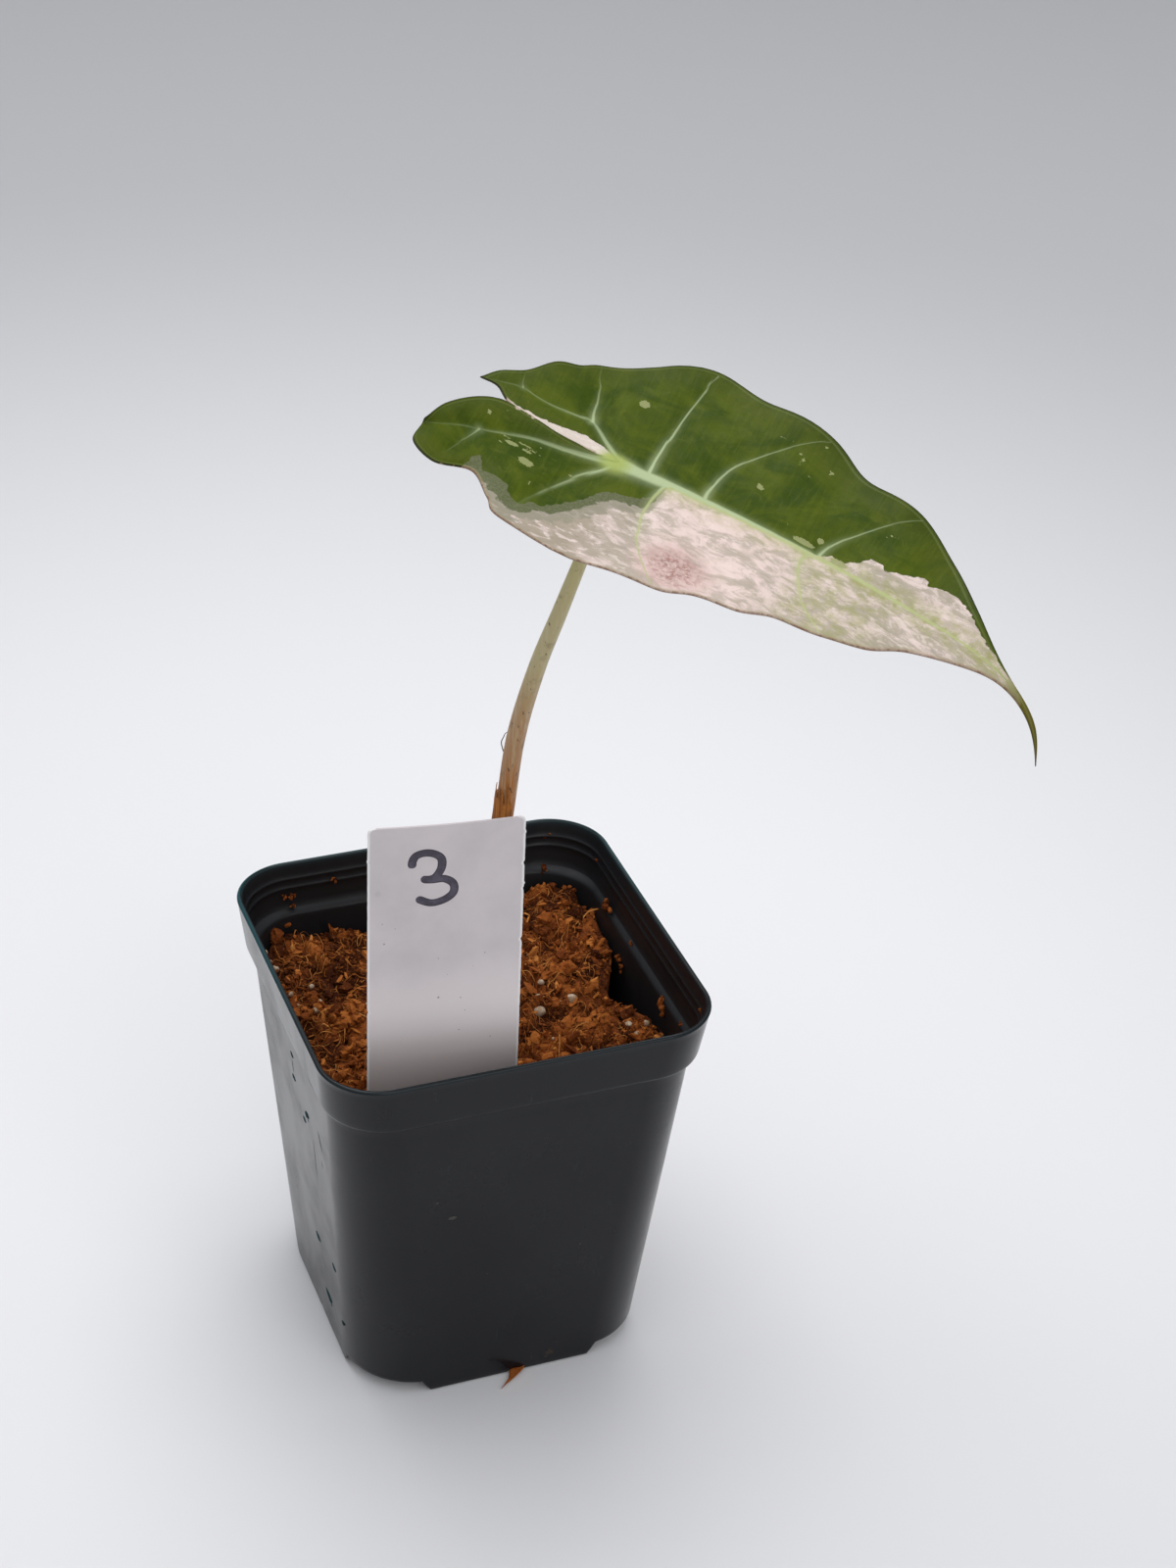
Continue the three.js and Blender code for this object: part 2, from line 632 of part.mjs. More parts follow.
// Beads of perlite and crumbs of coir that stand out of the mix.
function mixGrains() {
  const random = seeded(7);
  const grains = perlite.map(([x, y]) => {
    const bead = new THREE.IcosahedronGeometry(perliteRadius * mix(0.85, 1.1, random()), 0);
    return bead.translate(x, y, mixHeight(x, y) + 0.35);
  });
  for (let k = 0; k < crumbs.count; k++) {
    const reach = crumbs.reach * Math.sqrt(random());
    const angle = 2 * Math.PI * random();
    const x = reach * Math.cos(angle);
    const y = reach * Math.sin(angle);
    const size = mix(crumbs.smallest, crumbs.largest, random());
    const turn = 3 * random();
    if (Math.hypot(x - stemFoot.x, y - stemFoot.y) < 7) continue;
    if (Math.abs(x - label.middle[0]) < 20 && Math.abs(y - label.middle[1]) < 5) continue;
    if (x > innerWallAt(mixLevel) - mixShrink.width - 4) continue;
    const crumb = new THREE.IcosahedronGeometry(size, 0).scale(1.25, 0.9, 0.75).rotateZ(turn).rotateX(turn / 3);
    grains.push(crumb.translate(x, y, mixHeight(x, y) + 0.2));
  }
  return grains.reduce((all, grain) => all.add(solidOf(grain)), mixBody());
}

function labelSolid(margin) {
  const width = label.width + 2 * margin;
  const bottom = label.top - label.length - margin;
  const shape = new THREE.Shape();
  const r = label.corner;
  shape.moveTo(-width / 2, bottom);
  shape.lineTo(width / 2, bottom);
  shape.lineTo(width / 2, label.top - r);
  shape.quadraticCurveTo(width / 2, label.top, width / 2 - r, label.top);
  shape.lineTo(-width / 2 + r, label.top);
  shape.quadraticCurveTo(-width / 2, label.top, -width / 2, label.top - r);
  const depth = label.thickness + 2 * margin;
  const sheet = new THREE.ExtrudeGeometry(shape, { depth, bevelEnabled: false, curveSegments: 4 });
  return sheet
    .translate(0, 0, -depth / 2)
    .rotateX(Math.PI / 2)
    .rotateZ(radians(label.turn))
    .translate(...label.middle, 0);
}

function makeMix() {
  const stemRoom = taperedTube(petioleCurve, () => stemHole + seatGap, 20, 10);
  const belowStem = new THREE.CylinderGeometry(stemHole + seatGap, stemHole + seatGap, 2, 12).rotateX(Math.PI / 2);
  const cuts = [
    solidOf(stemRoom),
    solidOf(belowStem.translate(stemFoot.x, stemFoot.y, stemFoot.z)),
    cormSolid(seatGap),
    solidOf(labelSolid(seatGap)),
    raisedCorners(potWall + seatGap),
  ];
  return geometryOf(largestBody(cuts.reduce((rest, cut) => rest.subtract(cut), mixGrains())));
}

const finish = {
  pot: new THREE.MeshStandardMaterial({ color: 0x26282b, roughness: 0.42, metalness: 0 }),
  mix: new THREE.MeshStandardMaterial({ color: 0x7a3f1c, roughness: 0.95, metalness: 0 }),
  corm: new THREE.MeshStandardMaterial({ color: 0x8a6a48, roughness: 0.85, metalness: 0 }),
  petiole: new THREE.MeshStandardMaterial({ color: 0xa89a72, roughness: 0.5, metalness: 0 }),
  sheath: new THREE.MeshStandardMaterial({ color: 0x9a6230, roughness: 0.75, metalness: 0 }),
  blade: new THREE.MeshStandardMaterial({ color: 0x56701f, roughness: 0.42, metalness: 0 }),
  label: new THREE.MeshStandardMaterial({ color: 0xe9e6ea, roughness: 0.5, metalness: 0 }),
};

const plant = new THREE.Group();

function place(name, geometry, material, parent = plant) {
  const mesh = new THREE.Mesh(geometry, material);
  mesh.name = name;
  parent.add(mesh);
}

const holder = new THREE.Group();
plant.add(holder);
place("nursery_pot", makePot(), finish.pot, holder);
place("potting_mix", makeMix(), finish.mix, holder);
place("corm", geometryOf(cormSolid(0)), finish.corm);
place("petiole", makePetiole(), finish.petiole);
place("basal_sheath", makeSheath(), finish.sheath);
place("leaf_blade", makeBlade(), finish.blade);
place("plant_label", labelSolid(0), finish.label, holder);

export default plant;
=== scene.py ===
import math
import bpy
import numpy as np
from mathutils import Matrix


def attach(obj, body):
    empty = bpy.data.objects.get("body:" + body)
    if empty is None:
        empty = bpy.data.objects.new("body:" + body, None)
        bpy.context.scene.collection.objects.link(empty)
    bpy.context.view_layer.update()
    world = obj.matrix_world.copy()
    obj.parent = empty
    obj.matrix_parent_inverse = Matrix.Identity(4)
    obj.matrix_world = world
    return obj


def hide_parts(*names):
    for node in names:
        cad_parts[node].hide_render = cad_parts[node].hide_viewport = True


# A young alocasia with one leaf in a square nursery pot: shapes in millimetres, put into Blender in metres.
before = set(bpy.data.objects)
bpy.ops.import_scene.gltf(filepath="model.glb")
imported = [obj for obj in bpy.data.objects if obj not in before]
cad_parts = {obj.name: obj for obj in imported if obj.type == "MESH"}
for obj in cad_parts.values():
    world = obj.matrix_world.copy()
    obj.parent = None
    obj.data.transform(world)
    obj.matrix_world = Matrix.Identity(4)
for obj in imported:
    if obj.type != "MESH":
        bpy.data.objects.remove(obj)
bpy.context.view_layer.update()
mm = 0.001
print("frame loaded with", len(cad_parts), "nodes")


# Numbers

def smooth(low, high, x):
    # 0 below low, 1 above high, with level ends between
    t = np.clip((x - low) / (high - low), 0, 1)
    return t * t * (3 - 2 * t)


def scatterAt(cells, seed):
    # a repeatable number from 0 to 1 for each whole-number cell, by mixing its bits
    x, y, z = (cells[..., k].astype(np.int64).astype(np.uint32) for k in range(3))
    with np.errstate(over="ignore"):
        n = x * np.uint32(374761393) + y * np.uint32(668265263) + z * np.uint32(2147483647)
        n = n + np.uint32(seed * 7919 + 13)
        n = (n ^ (n >> np.uint32(13))) * np.uint32(1274126177)
        n = (n ^ (n >> np.uint32(15))) * np.uint32(2246822519)
    return ((n ^ (n >> np.uint32(16))) & np.uint32(0xFFFFFF)) / float(0x1000000)


def cloud(points, size, seed, octaves=3, fall=0.5):
    # value noise from -1 to 1: random numbers on a lattice of that size, blended smoothly, octaves added
    total, weight, height = 0.0, 0.0, 1.0
    for octave in range(octaves):
        place = points / size * 2 ** octave + 57.3
        cell = np.floor(place)
        t = place - cell
        t = t * t * (3 - 2 * t)
        value = 0.0
        for corner in range(8):
            step = np.array([corner & 1, corner >> 1 & 1, corner >> 2 & 1])
            share = np.prod(np.where(step, t, 1 - t), axis=-1)
            value = value + share * scatterAt(cell + step, seed + octave)
        total = total + height * (2 * value - 1)
        weight += height
        height *= fall
    return total / weight


def throughPoints(points, t):
    # a smooth curve through the points, one point for each whole t (Catmull-Rom)
    p = np.asarray(points, float)
    p = np.vstack([2 * p[0] - p[1], p, 2 * p[-1] - p[-2]])
    k = np.clip(np.floor(t).astype(int), 0, len(p) - 4)
    f = (np.asarray(t) - k)[..., None]
    a, b, c, d = p[k], p[k + 1], p[k + 2], p[k + 3]
    ahead, behind = (c - a) / 2, (d - b) / 2
    square, cube = 3 * (c - b) - 2 * ahead - behind, 2 * (b - c) + ahead + behind
    return b + ahead * f + square * f ** 2 + cube * f ** 3


def toLine(places, line):
    # distance from each place to a polyline, and how far along it (0 to 1) the nearest point lies
    line = np.asarray(line, float)
    a, d = line[:-1], np.diff(line, axis=0)
    lengths = np.linalg.norm(d, axis=1)
    before = np.concatenate([[0], np.cumsum(lengths)[:-1]])
    best = np.full(len(places), 1e9)
    along = np.zeros(len(places))
    for start, step, length, offset in zip(a, d, lengths, before):
        t = np.clip(((places - start) @ step) / max(length ** 2, 1e-9), 0, 1)
        gap = np.linalg.norm(places - start - t[:, None] * step, axis=1)
        nearer = gap < best
        best = np.where(nearer, gap, best)
        along = np.where(nearer, (offset + t * length) / lengths.sum(), along)
    return best, along


def insideOutline(places, outline):
    # signed distance to a closed outline, positive inside, where a ray to the right crosses it an odd
    # number of times
    ring = np.asarray(list(outline) + [outline[0]], float)
    gap, _ = toLine(places, ring)
    odd = np.zeros(len(places), bool)
    for (x0, y0), (x1, y1) in zip(ring[:-1], ring[1:]):
        spans = (y0 > places[:, 1]) != (y1 > places[:, 1])
        cross = x0 + (places[:, 1] - y0) * (x1 - x0) / (y1 - y0 if y1 != y0 else 1e-9)
        odd ^= spans & (places[:, 0] < cross)
    return np.where(odd, gap, -gap)


# Meshes

def gridFaces(rows, columns, ring=False):
    # one quad for each cell of a grid of points; ring joins the last column to the first
    r = np.arange(rows - 1)[:, None]
    c = np.arange(columns if ring else columns - 1)[None, :]
    a = r * columns + c
    b = r * columns + (c + 1) % columns
    return np.stack([a, b, b + columns, a + columns], -1).reshape(-1, 4)


def putPiece(name, points, faces, material, values=None, plan=None, stands=(), flat=False):
    # points in mm and faces (quads, or triangles with the last corner repeated) become one piece on the body
    faces = np.asarray(faces)
    if faces.shape[1] == 3:
        faces = np.column_stack([faces, faces[:, 2]])
    keep = np.ones_like(faces, bool)
    for k in range(4):
        keep[:, k] = faces[:, k] != faces[:, (k + 1) % 4]
    counts = keep.sum(1)
    real = counts > 2
    corners = faces[real][keep[real]].astype(np.int32)
    counts = counts[real]
    starts = np.concatenate([[0], np.cumsum(counts)[:-1]]).astype(np.int32)
    mesh = bpy.data.meshes.new(name)
    mesh.vertices.add(len(points))
    mesh.vertices.foreach_set("co", (np.asarray(points) * mm).astype(np.float32).ravel())
    mesh.loops.add(len(corners))
    mesh.loops.foreach_set("vertex_index", corners)
    mesh.polygons.add(len(counts))
    mesh.polygons.foreach_set("loop_start", starts)
    mesh.polygons.foreach_set("use_smooth", np.full(len(counts), not flat))
    for key, array in (values or {}).items():
        mesh.attributes.new(key, "FLOAT", "POINT").data.foreach_set("value", array.astype(np.float32))
    if plan is not None:
        layer = mesh.uv_layers.new(name="plan")
        layer.data.foreach_set("uv", plan[corners].astype(np.float32).ravel())
    mesh.update(calc_edges=True)
    mesh.validate()
    mesh.materials.append(material)
    piece = bpy.data.objects.new(name, mesh)
    bpy.context.scene.collection.objects.link(piece)
    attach(piece, "root")
    if stands:
        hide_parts(*stands)
    print(name, "has", int((counts - 2).sum()), "triangles")
    return piece


def closeSheet(upper, under, faces):
    # two skins of the same grid and the strip of faces that joins them round every free edge
    n = len(upper)
    a = faces.ravel()
    b = np.roll(faces, -1, axis=1).ravel()
    real = a != b
    a, b = a[real], b[real]
    free = ~np.isin(a * n + b, b * n + a)
    a, b = a[free], b[free]
    rim = np.column_stack([b, a, a + n, b + n])
    return np.vstack([upper, under]), np.vstack([faces, faces[:, ::-1] + n, rim])


def tube(path, radii, sides, squash=None):
    # a ring of points square to the path at each of its points, closed by a point at each end
    path = np.asarray(path, float)
    ahead = np.gradient(path, axis=0)
    ahead /= np.linalg.norm(ahead, axis=1)[:, None]
    side = np.cross(ahead, [0.31, 0.17, 0.93] if abs(ahead[0, 2]) < 0.8 else [0.93, 0.31, 0.17])
    side /= np.linalg.norm(side, axis=1)[:, None]
    other = np.cross(ahead, side)
    angle = np.linspace(0, 2 * np.pi, sides, endpoint=False)
    radii = np.broadcast_to(np.asarray(radii, float), (len(path),))[:, None]
    if squash is not None:
        radii = radii * np.asarray(squash)
    rings = (path[:, None] + side[:, None] * (radii * np.cos(angle))[..., None]
             + other[:, None] * (radii * np.sin(angle))[..., None])
    points = np.vstack([rings.reshape(-1, 3), path[:1], path[-1:]])
    faces = gridFaces(len(path), sides, ring=True)
    first, last = len(points) - 2, len(points) - 1
    i = np.arange(sides)
    start = np.column_stack([np.full(sides, first), (i + 1) % sides, i, i])
    top = (len(path) - 1) * sides
    end = np.column_stack([np.full(sides, last), top + i, top + (i + 1) % sides, top + (i + 1) % sides])
    return points, np.vstack([faces, start, end])


def joinParts(parts):
    # several (points, faces) as one
    shift = np.cumsum([0] + [len(p) for p, _ in parts[:-1]])
    return np.vstack([p for p, _ in parts]), np.vstack([f + s for (_, f), s in zip(parts, shift)])


# Materials

def shade(red, green, blue):
    # a screen colour from 0 to 255 as the light that Blender works in
    c = np.array([red, green, blue]) / 255
    return tuple(np.where(c <= 0.04045, c / 12.92, ((c + 0.055) / 1.055) ** 2.4)) + (1.0,)


def feed(tree, socket, value):
    # links another node's output to the socket, or sets the socket's own value
    if isinstance(value, bpy.types.NodeSocket):
        tree.links.new(value, socket)
    else:
        socket.default_value = value


def addNode(tree, kind, inputs=(), **settings):
    # a node with its settings, and each named input fed
    node = tree.nodes.new(kind)
    for key, value in settings.items():
        setattr(node, key, value)
    for key, value in dict(inputs).items():
        feed(tree, node.inputs[key], value)
    return node


def newFinish(name, roughness=0.5, **sockets):
    # a Principled material; the sockets named here are set once for the whole surface
    material = bpy.data.materials.new(name)
    material.use_nodes = True
    tree = material.node_tree
    shader = tree.nodes["Principled BSDF"]
    shader.inputs["Roughness"].default_value = roughness
    for key, value in sockets.items():
        shader.inputs[key.replace("_", " ")].default_value = value
    return material, tree, shader


def objectPlace(tree):
    # the place on the object, in metres
    return addNode(tree, "ShaderNodeTexCoord").outputs["Object"]


def partsOf(tree, place):
    # the X, Y and Z of a place
    return addNode(tree, "ShaderNodeSeparateXYZ", {"Vector": place}).outputs


def noiseOf(tree, place, scale, detail=3.0, roughness=0.55, distortion=0.0):
    # fractal noise from 0 to 1, about 0.5 on average
    inputs = {"Vector": place, "Scale": scale, "Detail": detail, "Roughness": roughness,
              "Distortion": distortion}
    return addNode(tree, "ShaderNodeTexNoise", inputs).outputs["Fac"]


def stretched(tree, place, scale, turn=0.0):
    # the place scaled by its own amount each way, and turned, to draw a pattern out along one direction
    inputs = {"Vector": place, "Scale": scale, "Rotation": (0, 0, math.radians(turn))}
    return addNode(tree, "ShaderNodeMapping", inputs).outputs["Vector"]


def between(tree, value, low, high, start=0.0, end=1.0):
    # value between low and high becomes start to end, with level ends, held outside
    inputs = {"Value": value, "From Min": low, "From Max": high, "To Min": start, "To Max": end}
    return addNode(tree, "ShaderNodeMapRange", inputs, interpolation_type="SMOOTHSTEP").outputs["Result"]


def reckon(tree, operation, *values):
    # one sum of a Math node on up to three values
    return addNode(tree, "ShaderNodeMath", dict(enumerate(values)), operation=operation).outputs[0]


def times(tree, first, *others):
    # the product of all the values
    for other in others:
        first = reckon(tree, "MULTIPLY", first, other)
    return first


def blendColour(tree, share, first, second):
    # first where share is 0 and second where it is 1, each a socket or a screen colour
    node = addNode(tree, "ShaderNodeMix", {0: share}, data_type="RGBA")
    for key, colour in ((6, first), (7, second)):
        feed(tree, node.inputs[key], shade(*colour) if isinstance(colour, tuple) else colour)
    return node.outputs[2]


def layered(tree, colour, *layers):
    # colours laid over the first one after another, each as (share, colour)
    for share, over in layers:
        colour = blendColour(tree, share, colour, over)
    return colour


def readValue(tree, name):
    # a number that the mesh holds at each point
    return addNode(tree, "ShaderNodeAttribute", attribute_name=name).outputs["Fac"]


def raised(tree, shader, *layers):
    # bump layers, each (height, strength, distance in mm), one on top of the other
    normal = None
    for height, strength, distance in layers:
        inputs = {"Height": height, "Strength": strength, "Distance": distance * mm}
        if normal is not None:
            inputs["Normal"] = normal
        normal = addNode(tree, "ShaderNodeBump", inputs).outputs["Normal"]
    tree.links.new(normal, shader.inputs["Normal"])


# Pot

pot = {
    "footSide": 70.2, "wallTopSide": 84.3, "bandSide": 87.0, "side": 90.0,
    "bandBottom": 85.7, "height": 98.2, "wall": 1.2,
    "lipCorner": 13.8, "footCorner": 16.7,
    "cornerRise": 3.2, "footReach": 19.5, "footSlant": 1.5,
    "cornerSteps": 30, "sideSteps": 14,
    "innerRibs": (91.9, 94.2), "ribDepth": 0.3,
    "drainRadius": 3.0, "drainOffset": 26.0,
    "notch": (1.2, 4.0, 1.3),  # middle, width and height of the slot in each foot
    "wobble": 0.05,
    # rows of the profile as (height, step outwards): the foot's edge, the wall's end, the rim band's start
    "footRound": ((0.0, -0.75), (0.12, -0.35), (0.4, -0.08), (0.9, 0.0), (2.0, 0.0), (4.0, 0.0)),
    "wallEnd": ((-0.12, 0.05), (0.0, 0.3)),
    "bandStart": ((0.05, -0.35), (0.22, -0.06), (0.5, 0.03)),
    "lipRound": 0.55, "ribWidth": 0.28, "riseFade": 9,
    # pressed marks on the -X wall: (y, z, reach along y, reach up, lean)
    "marks": ((-14.2, 81.8, 5.0, 0.9, -0.12), (-19.2, 66.7, 1.6, 1.9, -1.4), (-9.1, 65.7, 0.8, 1.5, 0.4),
              (-7.4, 65.4, 0.6, 1.0, 0.4), (0.6, 73.5, 0.6, 2.4, 0.2), (-5.6, 62.4, 0.7, 0.9, 0),
              (-18.6, 59.5, 0.6, 1.2, 0), (-12, 56, 0.5, 7, 0.5)),
    # dried drops on the -X wall and pale scuffs on the -Y wall: (place along the wall, z, radius)
    "spots": ((-5.5, 27.4, 0.85), (-18.8, 29.0, 0.65), (-10.0, 12.7, 1.15), (-11.5, 10.9, 0.3),
              (-5.3, 62.5, 0.5), (-9.0, 66.6, 0.55), (-7.5, 65.6, 0.5), (0.5, 76.9, 0.5), (1.1, 69.9, 0.55),
              (-21.5, 13.9, 0.4)),
    "scuffs": ((-16.4, 55.2, 0.9), (-20.2, 60.8, 0.35), (21.6, 88.4, 0.3), (-7.3, 35.2, 0.25),
               (14.9, 38.2, 0.3)),
    "dropThick": 0.07, "scuffThick": 0.13,
}
potLook = {
    "plastic": ((16, 17, 21), (23, 24, 28)), "lip": (20, 74, 80), "footBrown": (84, 64, 44),
    "scratch": (70, 72, 74), "inside": (32, 34, 37), "drop": ((26, 54, 58), (48, 74, 76)),
    "scuff": ((84, 84, 78), (62, 63, 62)),
}


def squareRing():
    # round the square: where the corner's centre is, as a share of the inset, and which way its arc points
    inset, arc = [], []
    for quarter in range(4):
        turn = quarter * np.pi / 2
        c, s = round(math.cos(turn)), round(math.sin(turn))
        angle = np.linspace(0, np.pi / 2, pot["cornerSteps"] + 1)
        share = np.linspace(1, -1, pot["sideSteps"] + 1)[1:-1]
        centres = np.vstack([np.ones((len(angle), 2)), np.column_stack([share, np.ones_like(share)])])
        ways = np.vstack([np.column_stack([np.cos(angle), np.sin(angle)]), np.tile([0, 1], (len(share), 1))])
        spin = np.array([[c, -s], [s, c]])
        inset.append(centres @ spin.T)
        arc.append(ways @ spin.T)
    return np.vstack(inset), np.vstack(arc)


ringInset, ringArc = squareRing()


def squareAt(half, corner):
    # points of a rounded square for each half width and corner radius given
    half, corner = np.atleast_1d(half)[..., None], np.atleast_1d(corner)[..., None]
    if half.ndim == 2:
        half, corner = half[:, None], corner[:, None]
    return (half - corner) * ringInset + corner * ringArc


def cornerAt(z):
    # the corner radius, changing evenly from foot to lip
    return pot["footCorner"] + (pot["lipCorner"] - pot["footCorner"]) * z / pot["height"]


def wallAt(z):
    # half the outer width of the tapered wall
    return (pot["footSide"] + (pot["wallTopSide"] - pot["footSide"]) * z / pot["bandBottom"]) / 2


def bandAt(z):
    # half the outer width of the rim band
    share = (z - pot["bandBottom"]) / (pot["height"] - pot["bandBottom"])
    return (pot["bandSide"] + (pot["side"] - pot["bandSide"]) * share) / 2


def footRise(xy):
    # the base is raised at its corners, outside the crossed feet, with slanted ends
    low = np.min(np.abs(xy), axis=-1)
    return pot["cornerRise"] * np.clip((low - pot["footReach"]) / pot["footSlant"], 0, 1)


def potProfile():
    # heights and half widths: up the wall and the rim band, over the lip, and down the inside to the floor
    wall, bottom, top = pot["wall"], pot["bandBottom"], pot["height"]
    outer = [*pot["footRound"], *((z, 0.0) for z in np.linspace(7, bottom - 0.5, 26))]
    rows = [(z, wallAt(z) + out) for z, out in outer]
    rows += [(bottom + up, wallAt(bottom) + out) for up, out in pot["wallEnd"]]
    rows += [(bottom + up, bandAt(bottom) + out) for up, out in pot["bandStart"]]
    rows += [(z, bandAt(z)) for z in np.linspace(bottom + 1.1, top - 0.9, 9)]
    for angle in np.linspace(0, np.pi, 9):  # the lip's round edge
        up = pot["lipRound"] * (math.sin(angle) - 1)
        rows.append((top + up, bandAt(top) - wall / 2 + wall / 2 * math.cos(angle)))
    ringed = [r + d for r in reversed(pot["innerRibs"]) for d in (0.5, 0.25, 0, -0.25, -0.5)]
    for z in (95.6, *ringed, 90.0, 88.4):
        ribs = sum(pot["ribDepth"] * math.exp(-((z - r) / pot["ribWidth"]) ** 2) for r in pot["innerRibs"])
        rows.append((z, bandAt(z) - wall - ribs))
    ledgeOut, ledgeIn = bandAt(bottom + 0.9) - wall, wallAt(bottom) - wall
    for share in np.linspace(0, 1, 9):  # the ledge where the wall steps in, as a soft S
        step = (ledgeIn - ledgeOut) * float(smooth(0, 1, share))
        rows.append((bottom + 1.0 - 1.5 * share ** 1.5, ledgeOut + step))
    rows += [(z, wallAt(z) - wall) for z in np.linspace(bottom - 1.6, 6, 22)]
    return np.array(rows).T


def makePot(finish):
    # the profile carried round the square, and the base as smaller and smaller squares under and over it
    wall = pot["wall"]
    z, half = potProfile()
    inner = np.arange(len(z)) > np.argmax(z)
    ground = squareAt(wallAt(0), cornerAt(0))[0]
    sides = len(ground)
    rise = footRise(ground) * np.clip(1 - z / pot["riseFade"], 0, 1)[:, None]
    heights = z[:, None] + rise
    corner = np.maximum(cornerAt(heights) - np.where(inner, wall, 0)[:, None], 1)
    lean = (pot["wallTopSide"] - pot["footSide"]) / 2 / pot["bandBottom"]
    shell = np.dstack([squareAt(half[:, None] + lean * rise, corner), heights[..., None]])
    under = squareAt(wallAt(0) - 0.75, cornerAt(0))[0] * np.linspace(0.97, 0.0, 36)[:, None, None]
    under = np.dstack([under, footRise(under)[..., None]])
    shares = np.linspace(1, 0, 30)[:, None, None]
    floor = squareAt(wallAt(4) - wall, cornerAt(4) - wall)[0] * shares
    floorTop = footRise(floor * 1.02) + wall + 0.9 * (shares[:, 0] > 0.99)
    floor = np.dstack([floor, floorTop[..., None]])
    grid = np.concatenate([under[::-1], shell, floor])
    points = grid.reshape(-1, 3)
    faces = gridFaces(len(grid), sides, ring=True)
    faces = np.where(faces < sides, 0, faces)  # both middles close to a point
    last = (len(grid) - 1) * sides
    faces = np.where(faces >= last, last, faces)
    # the thin wall is a little out of true
    reach = np.linalg.norm(points[:, :2], axis=1)
    away = points * [1, 1, 0] / np.maximum(reach, 1e-6)[:, None]
    sway = pot["wobble"] * cloud(points, 26, 3, 2) * smooth(4, 20, points[:, 2]) * (reach > 30)
    points = points + away * sway[:, None]
    inside = np.repeat(np.concatenate([np.zeros(len(under)), inner, np.ones(len(floor))]), sides)
    used, order = np.unique(faces, return_inverse=True)
    piece = putPiece("nurseryPot", points[used], order.reshape(faces.shape), finish,
                     {"inside": inside[used]}, stands=("nursery_pot",))
    cutDrains(piece)


def cutDrains(piece):
    # round holes through the raised corners and a small slot in each foot, cut by a Boolean and applied
    parts = []
    for x in (-1, 1):
        for y in (-1, 1):
            centre = np.array([x * pot["drainOffset"], y * pot["drainOffset"]])
            path = np.array([[*centre, -1.0], [*centre, 7.0]])
            parts.append(tube(path, pot["drainRadius"], 28))
    middle, width, height = pot["notch"]
    for quarter in range(4):
        turn = quarter * np.pi / 2
        reach = pot["footSide"] / 2
        line = np.array([[middle, -reach - 4, -0.15], [middle, -reach + 4, -0.15]])
        c, s = math.cos(turn), math.sin(turn)
        spin = np.array([[c, -s, 0], [s, c, 0], [0, 0, 1]])
        arch, faces = tube(line, 1.0, 20)
        arch = (arch - line[0]) * [width / 2, 1, height + 0.15] + line[0]
        parts.append((arch @ spin.T, faces))
    points, faces = joinParts(parts)
    cutter = bpy.data.meshes.new("drainCutter")
    cutter.from_pydata((points * mm).tolist(), [], [list(dict.fromkeys(f)) for f in faces.tolist()])
    tool = bpy.data.objects.new("drainCutter", cutter)
    bpy.context.scene.collection.objects.link(tool)
    cut = piece.modifiers.new("drains", "BOOLEAN")
    cut.operation, cut.object, cut.solver = "DIFFERENCE", tool, "EXACT"
    bpy.context.view_layer.objects.active = piece
    bpy.ops.object.modifier_apply(modifier=cut.name)
    bpy.data.objects.remove(tool)


def potFinish():
    # dark plastic: faint clouds, brown patches that grow towards the foot, fine scratches, pressed marks,
    # and teal where light comes through the lip
    material, tree, shader = newFinish("potPlastic", 0.2, IOR=1.35)
    place = objectPlace(tree)
    parts = partsOf(tree, place)
    inside = readValue(tree, "inside")
    clouds = between(tree, noiseOf(tree, place, 28, 4, 0.6), 0.35, 0.7)
    lip = times(tree, between(tree, parts["Z"], 0.0966, 0.0979),
                between(tree, parts["Y"], -0.03, 0.03, 0.08, 0.8))
    # brown in patches, stronger towards the foot
    footBrown = times(tree, between(tree, noiseOf(tree, place, 160, 5, 0.7), 0.62, 0.76),
                  between(tree, parts["Z"], 0.014, 0.0, 0.04, 0.75))
    scratches = noiseOf(tree, stretched(tree, place, (700, 700, 90)), 1.0, 3, 0.7)
    dark, light = potLook["plastic"]
    colour = layered(tree, dark, (clouds, light), (lip, potLook["lip"]), (footBrown, potLook["footBrown"]),
                     (between(tree, scratches, 0.66, 0.74, 0, 0.12), potLook["scratch"]),
                     (times(tree, inside, 0.8), potLook["inside"]))
    feed(tree, shader.inputs["Base Color"], colour)
    rough = between(tree, noiseOf(tree, place, 60, 4, 0.6), 0.3, 0.75, 0.17, 0.3)
    feed(tree, shader.inputs["Roughness"], reckon(tree, "MULTIPLY_ADD", inside, 0.2, rough))
    pressed = 0.0
    for y, up, reachY, reachZ, lean in pot["marks"]:
        mark = pressedAt(tree, place, (-wallAt(up), y, up), (reachY, reachZ), lean)
        pressed = reckon(tree, "ADD", mark, pressed)
    raised(tree, shader, (noiseOf(tree, place, 30, 2, 0.4), 0.1, 0.5),
           (noiseOf(tree, place, 900, 3, 0.6), 0.06, 0.06), (pressed, 1.0, -0.5))
    return material


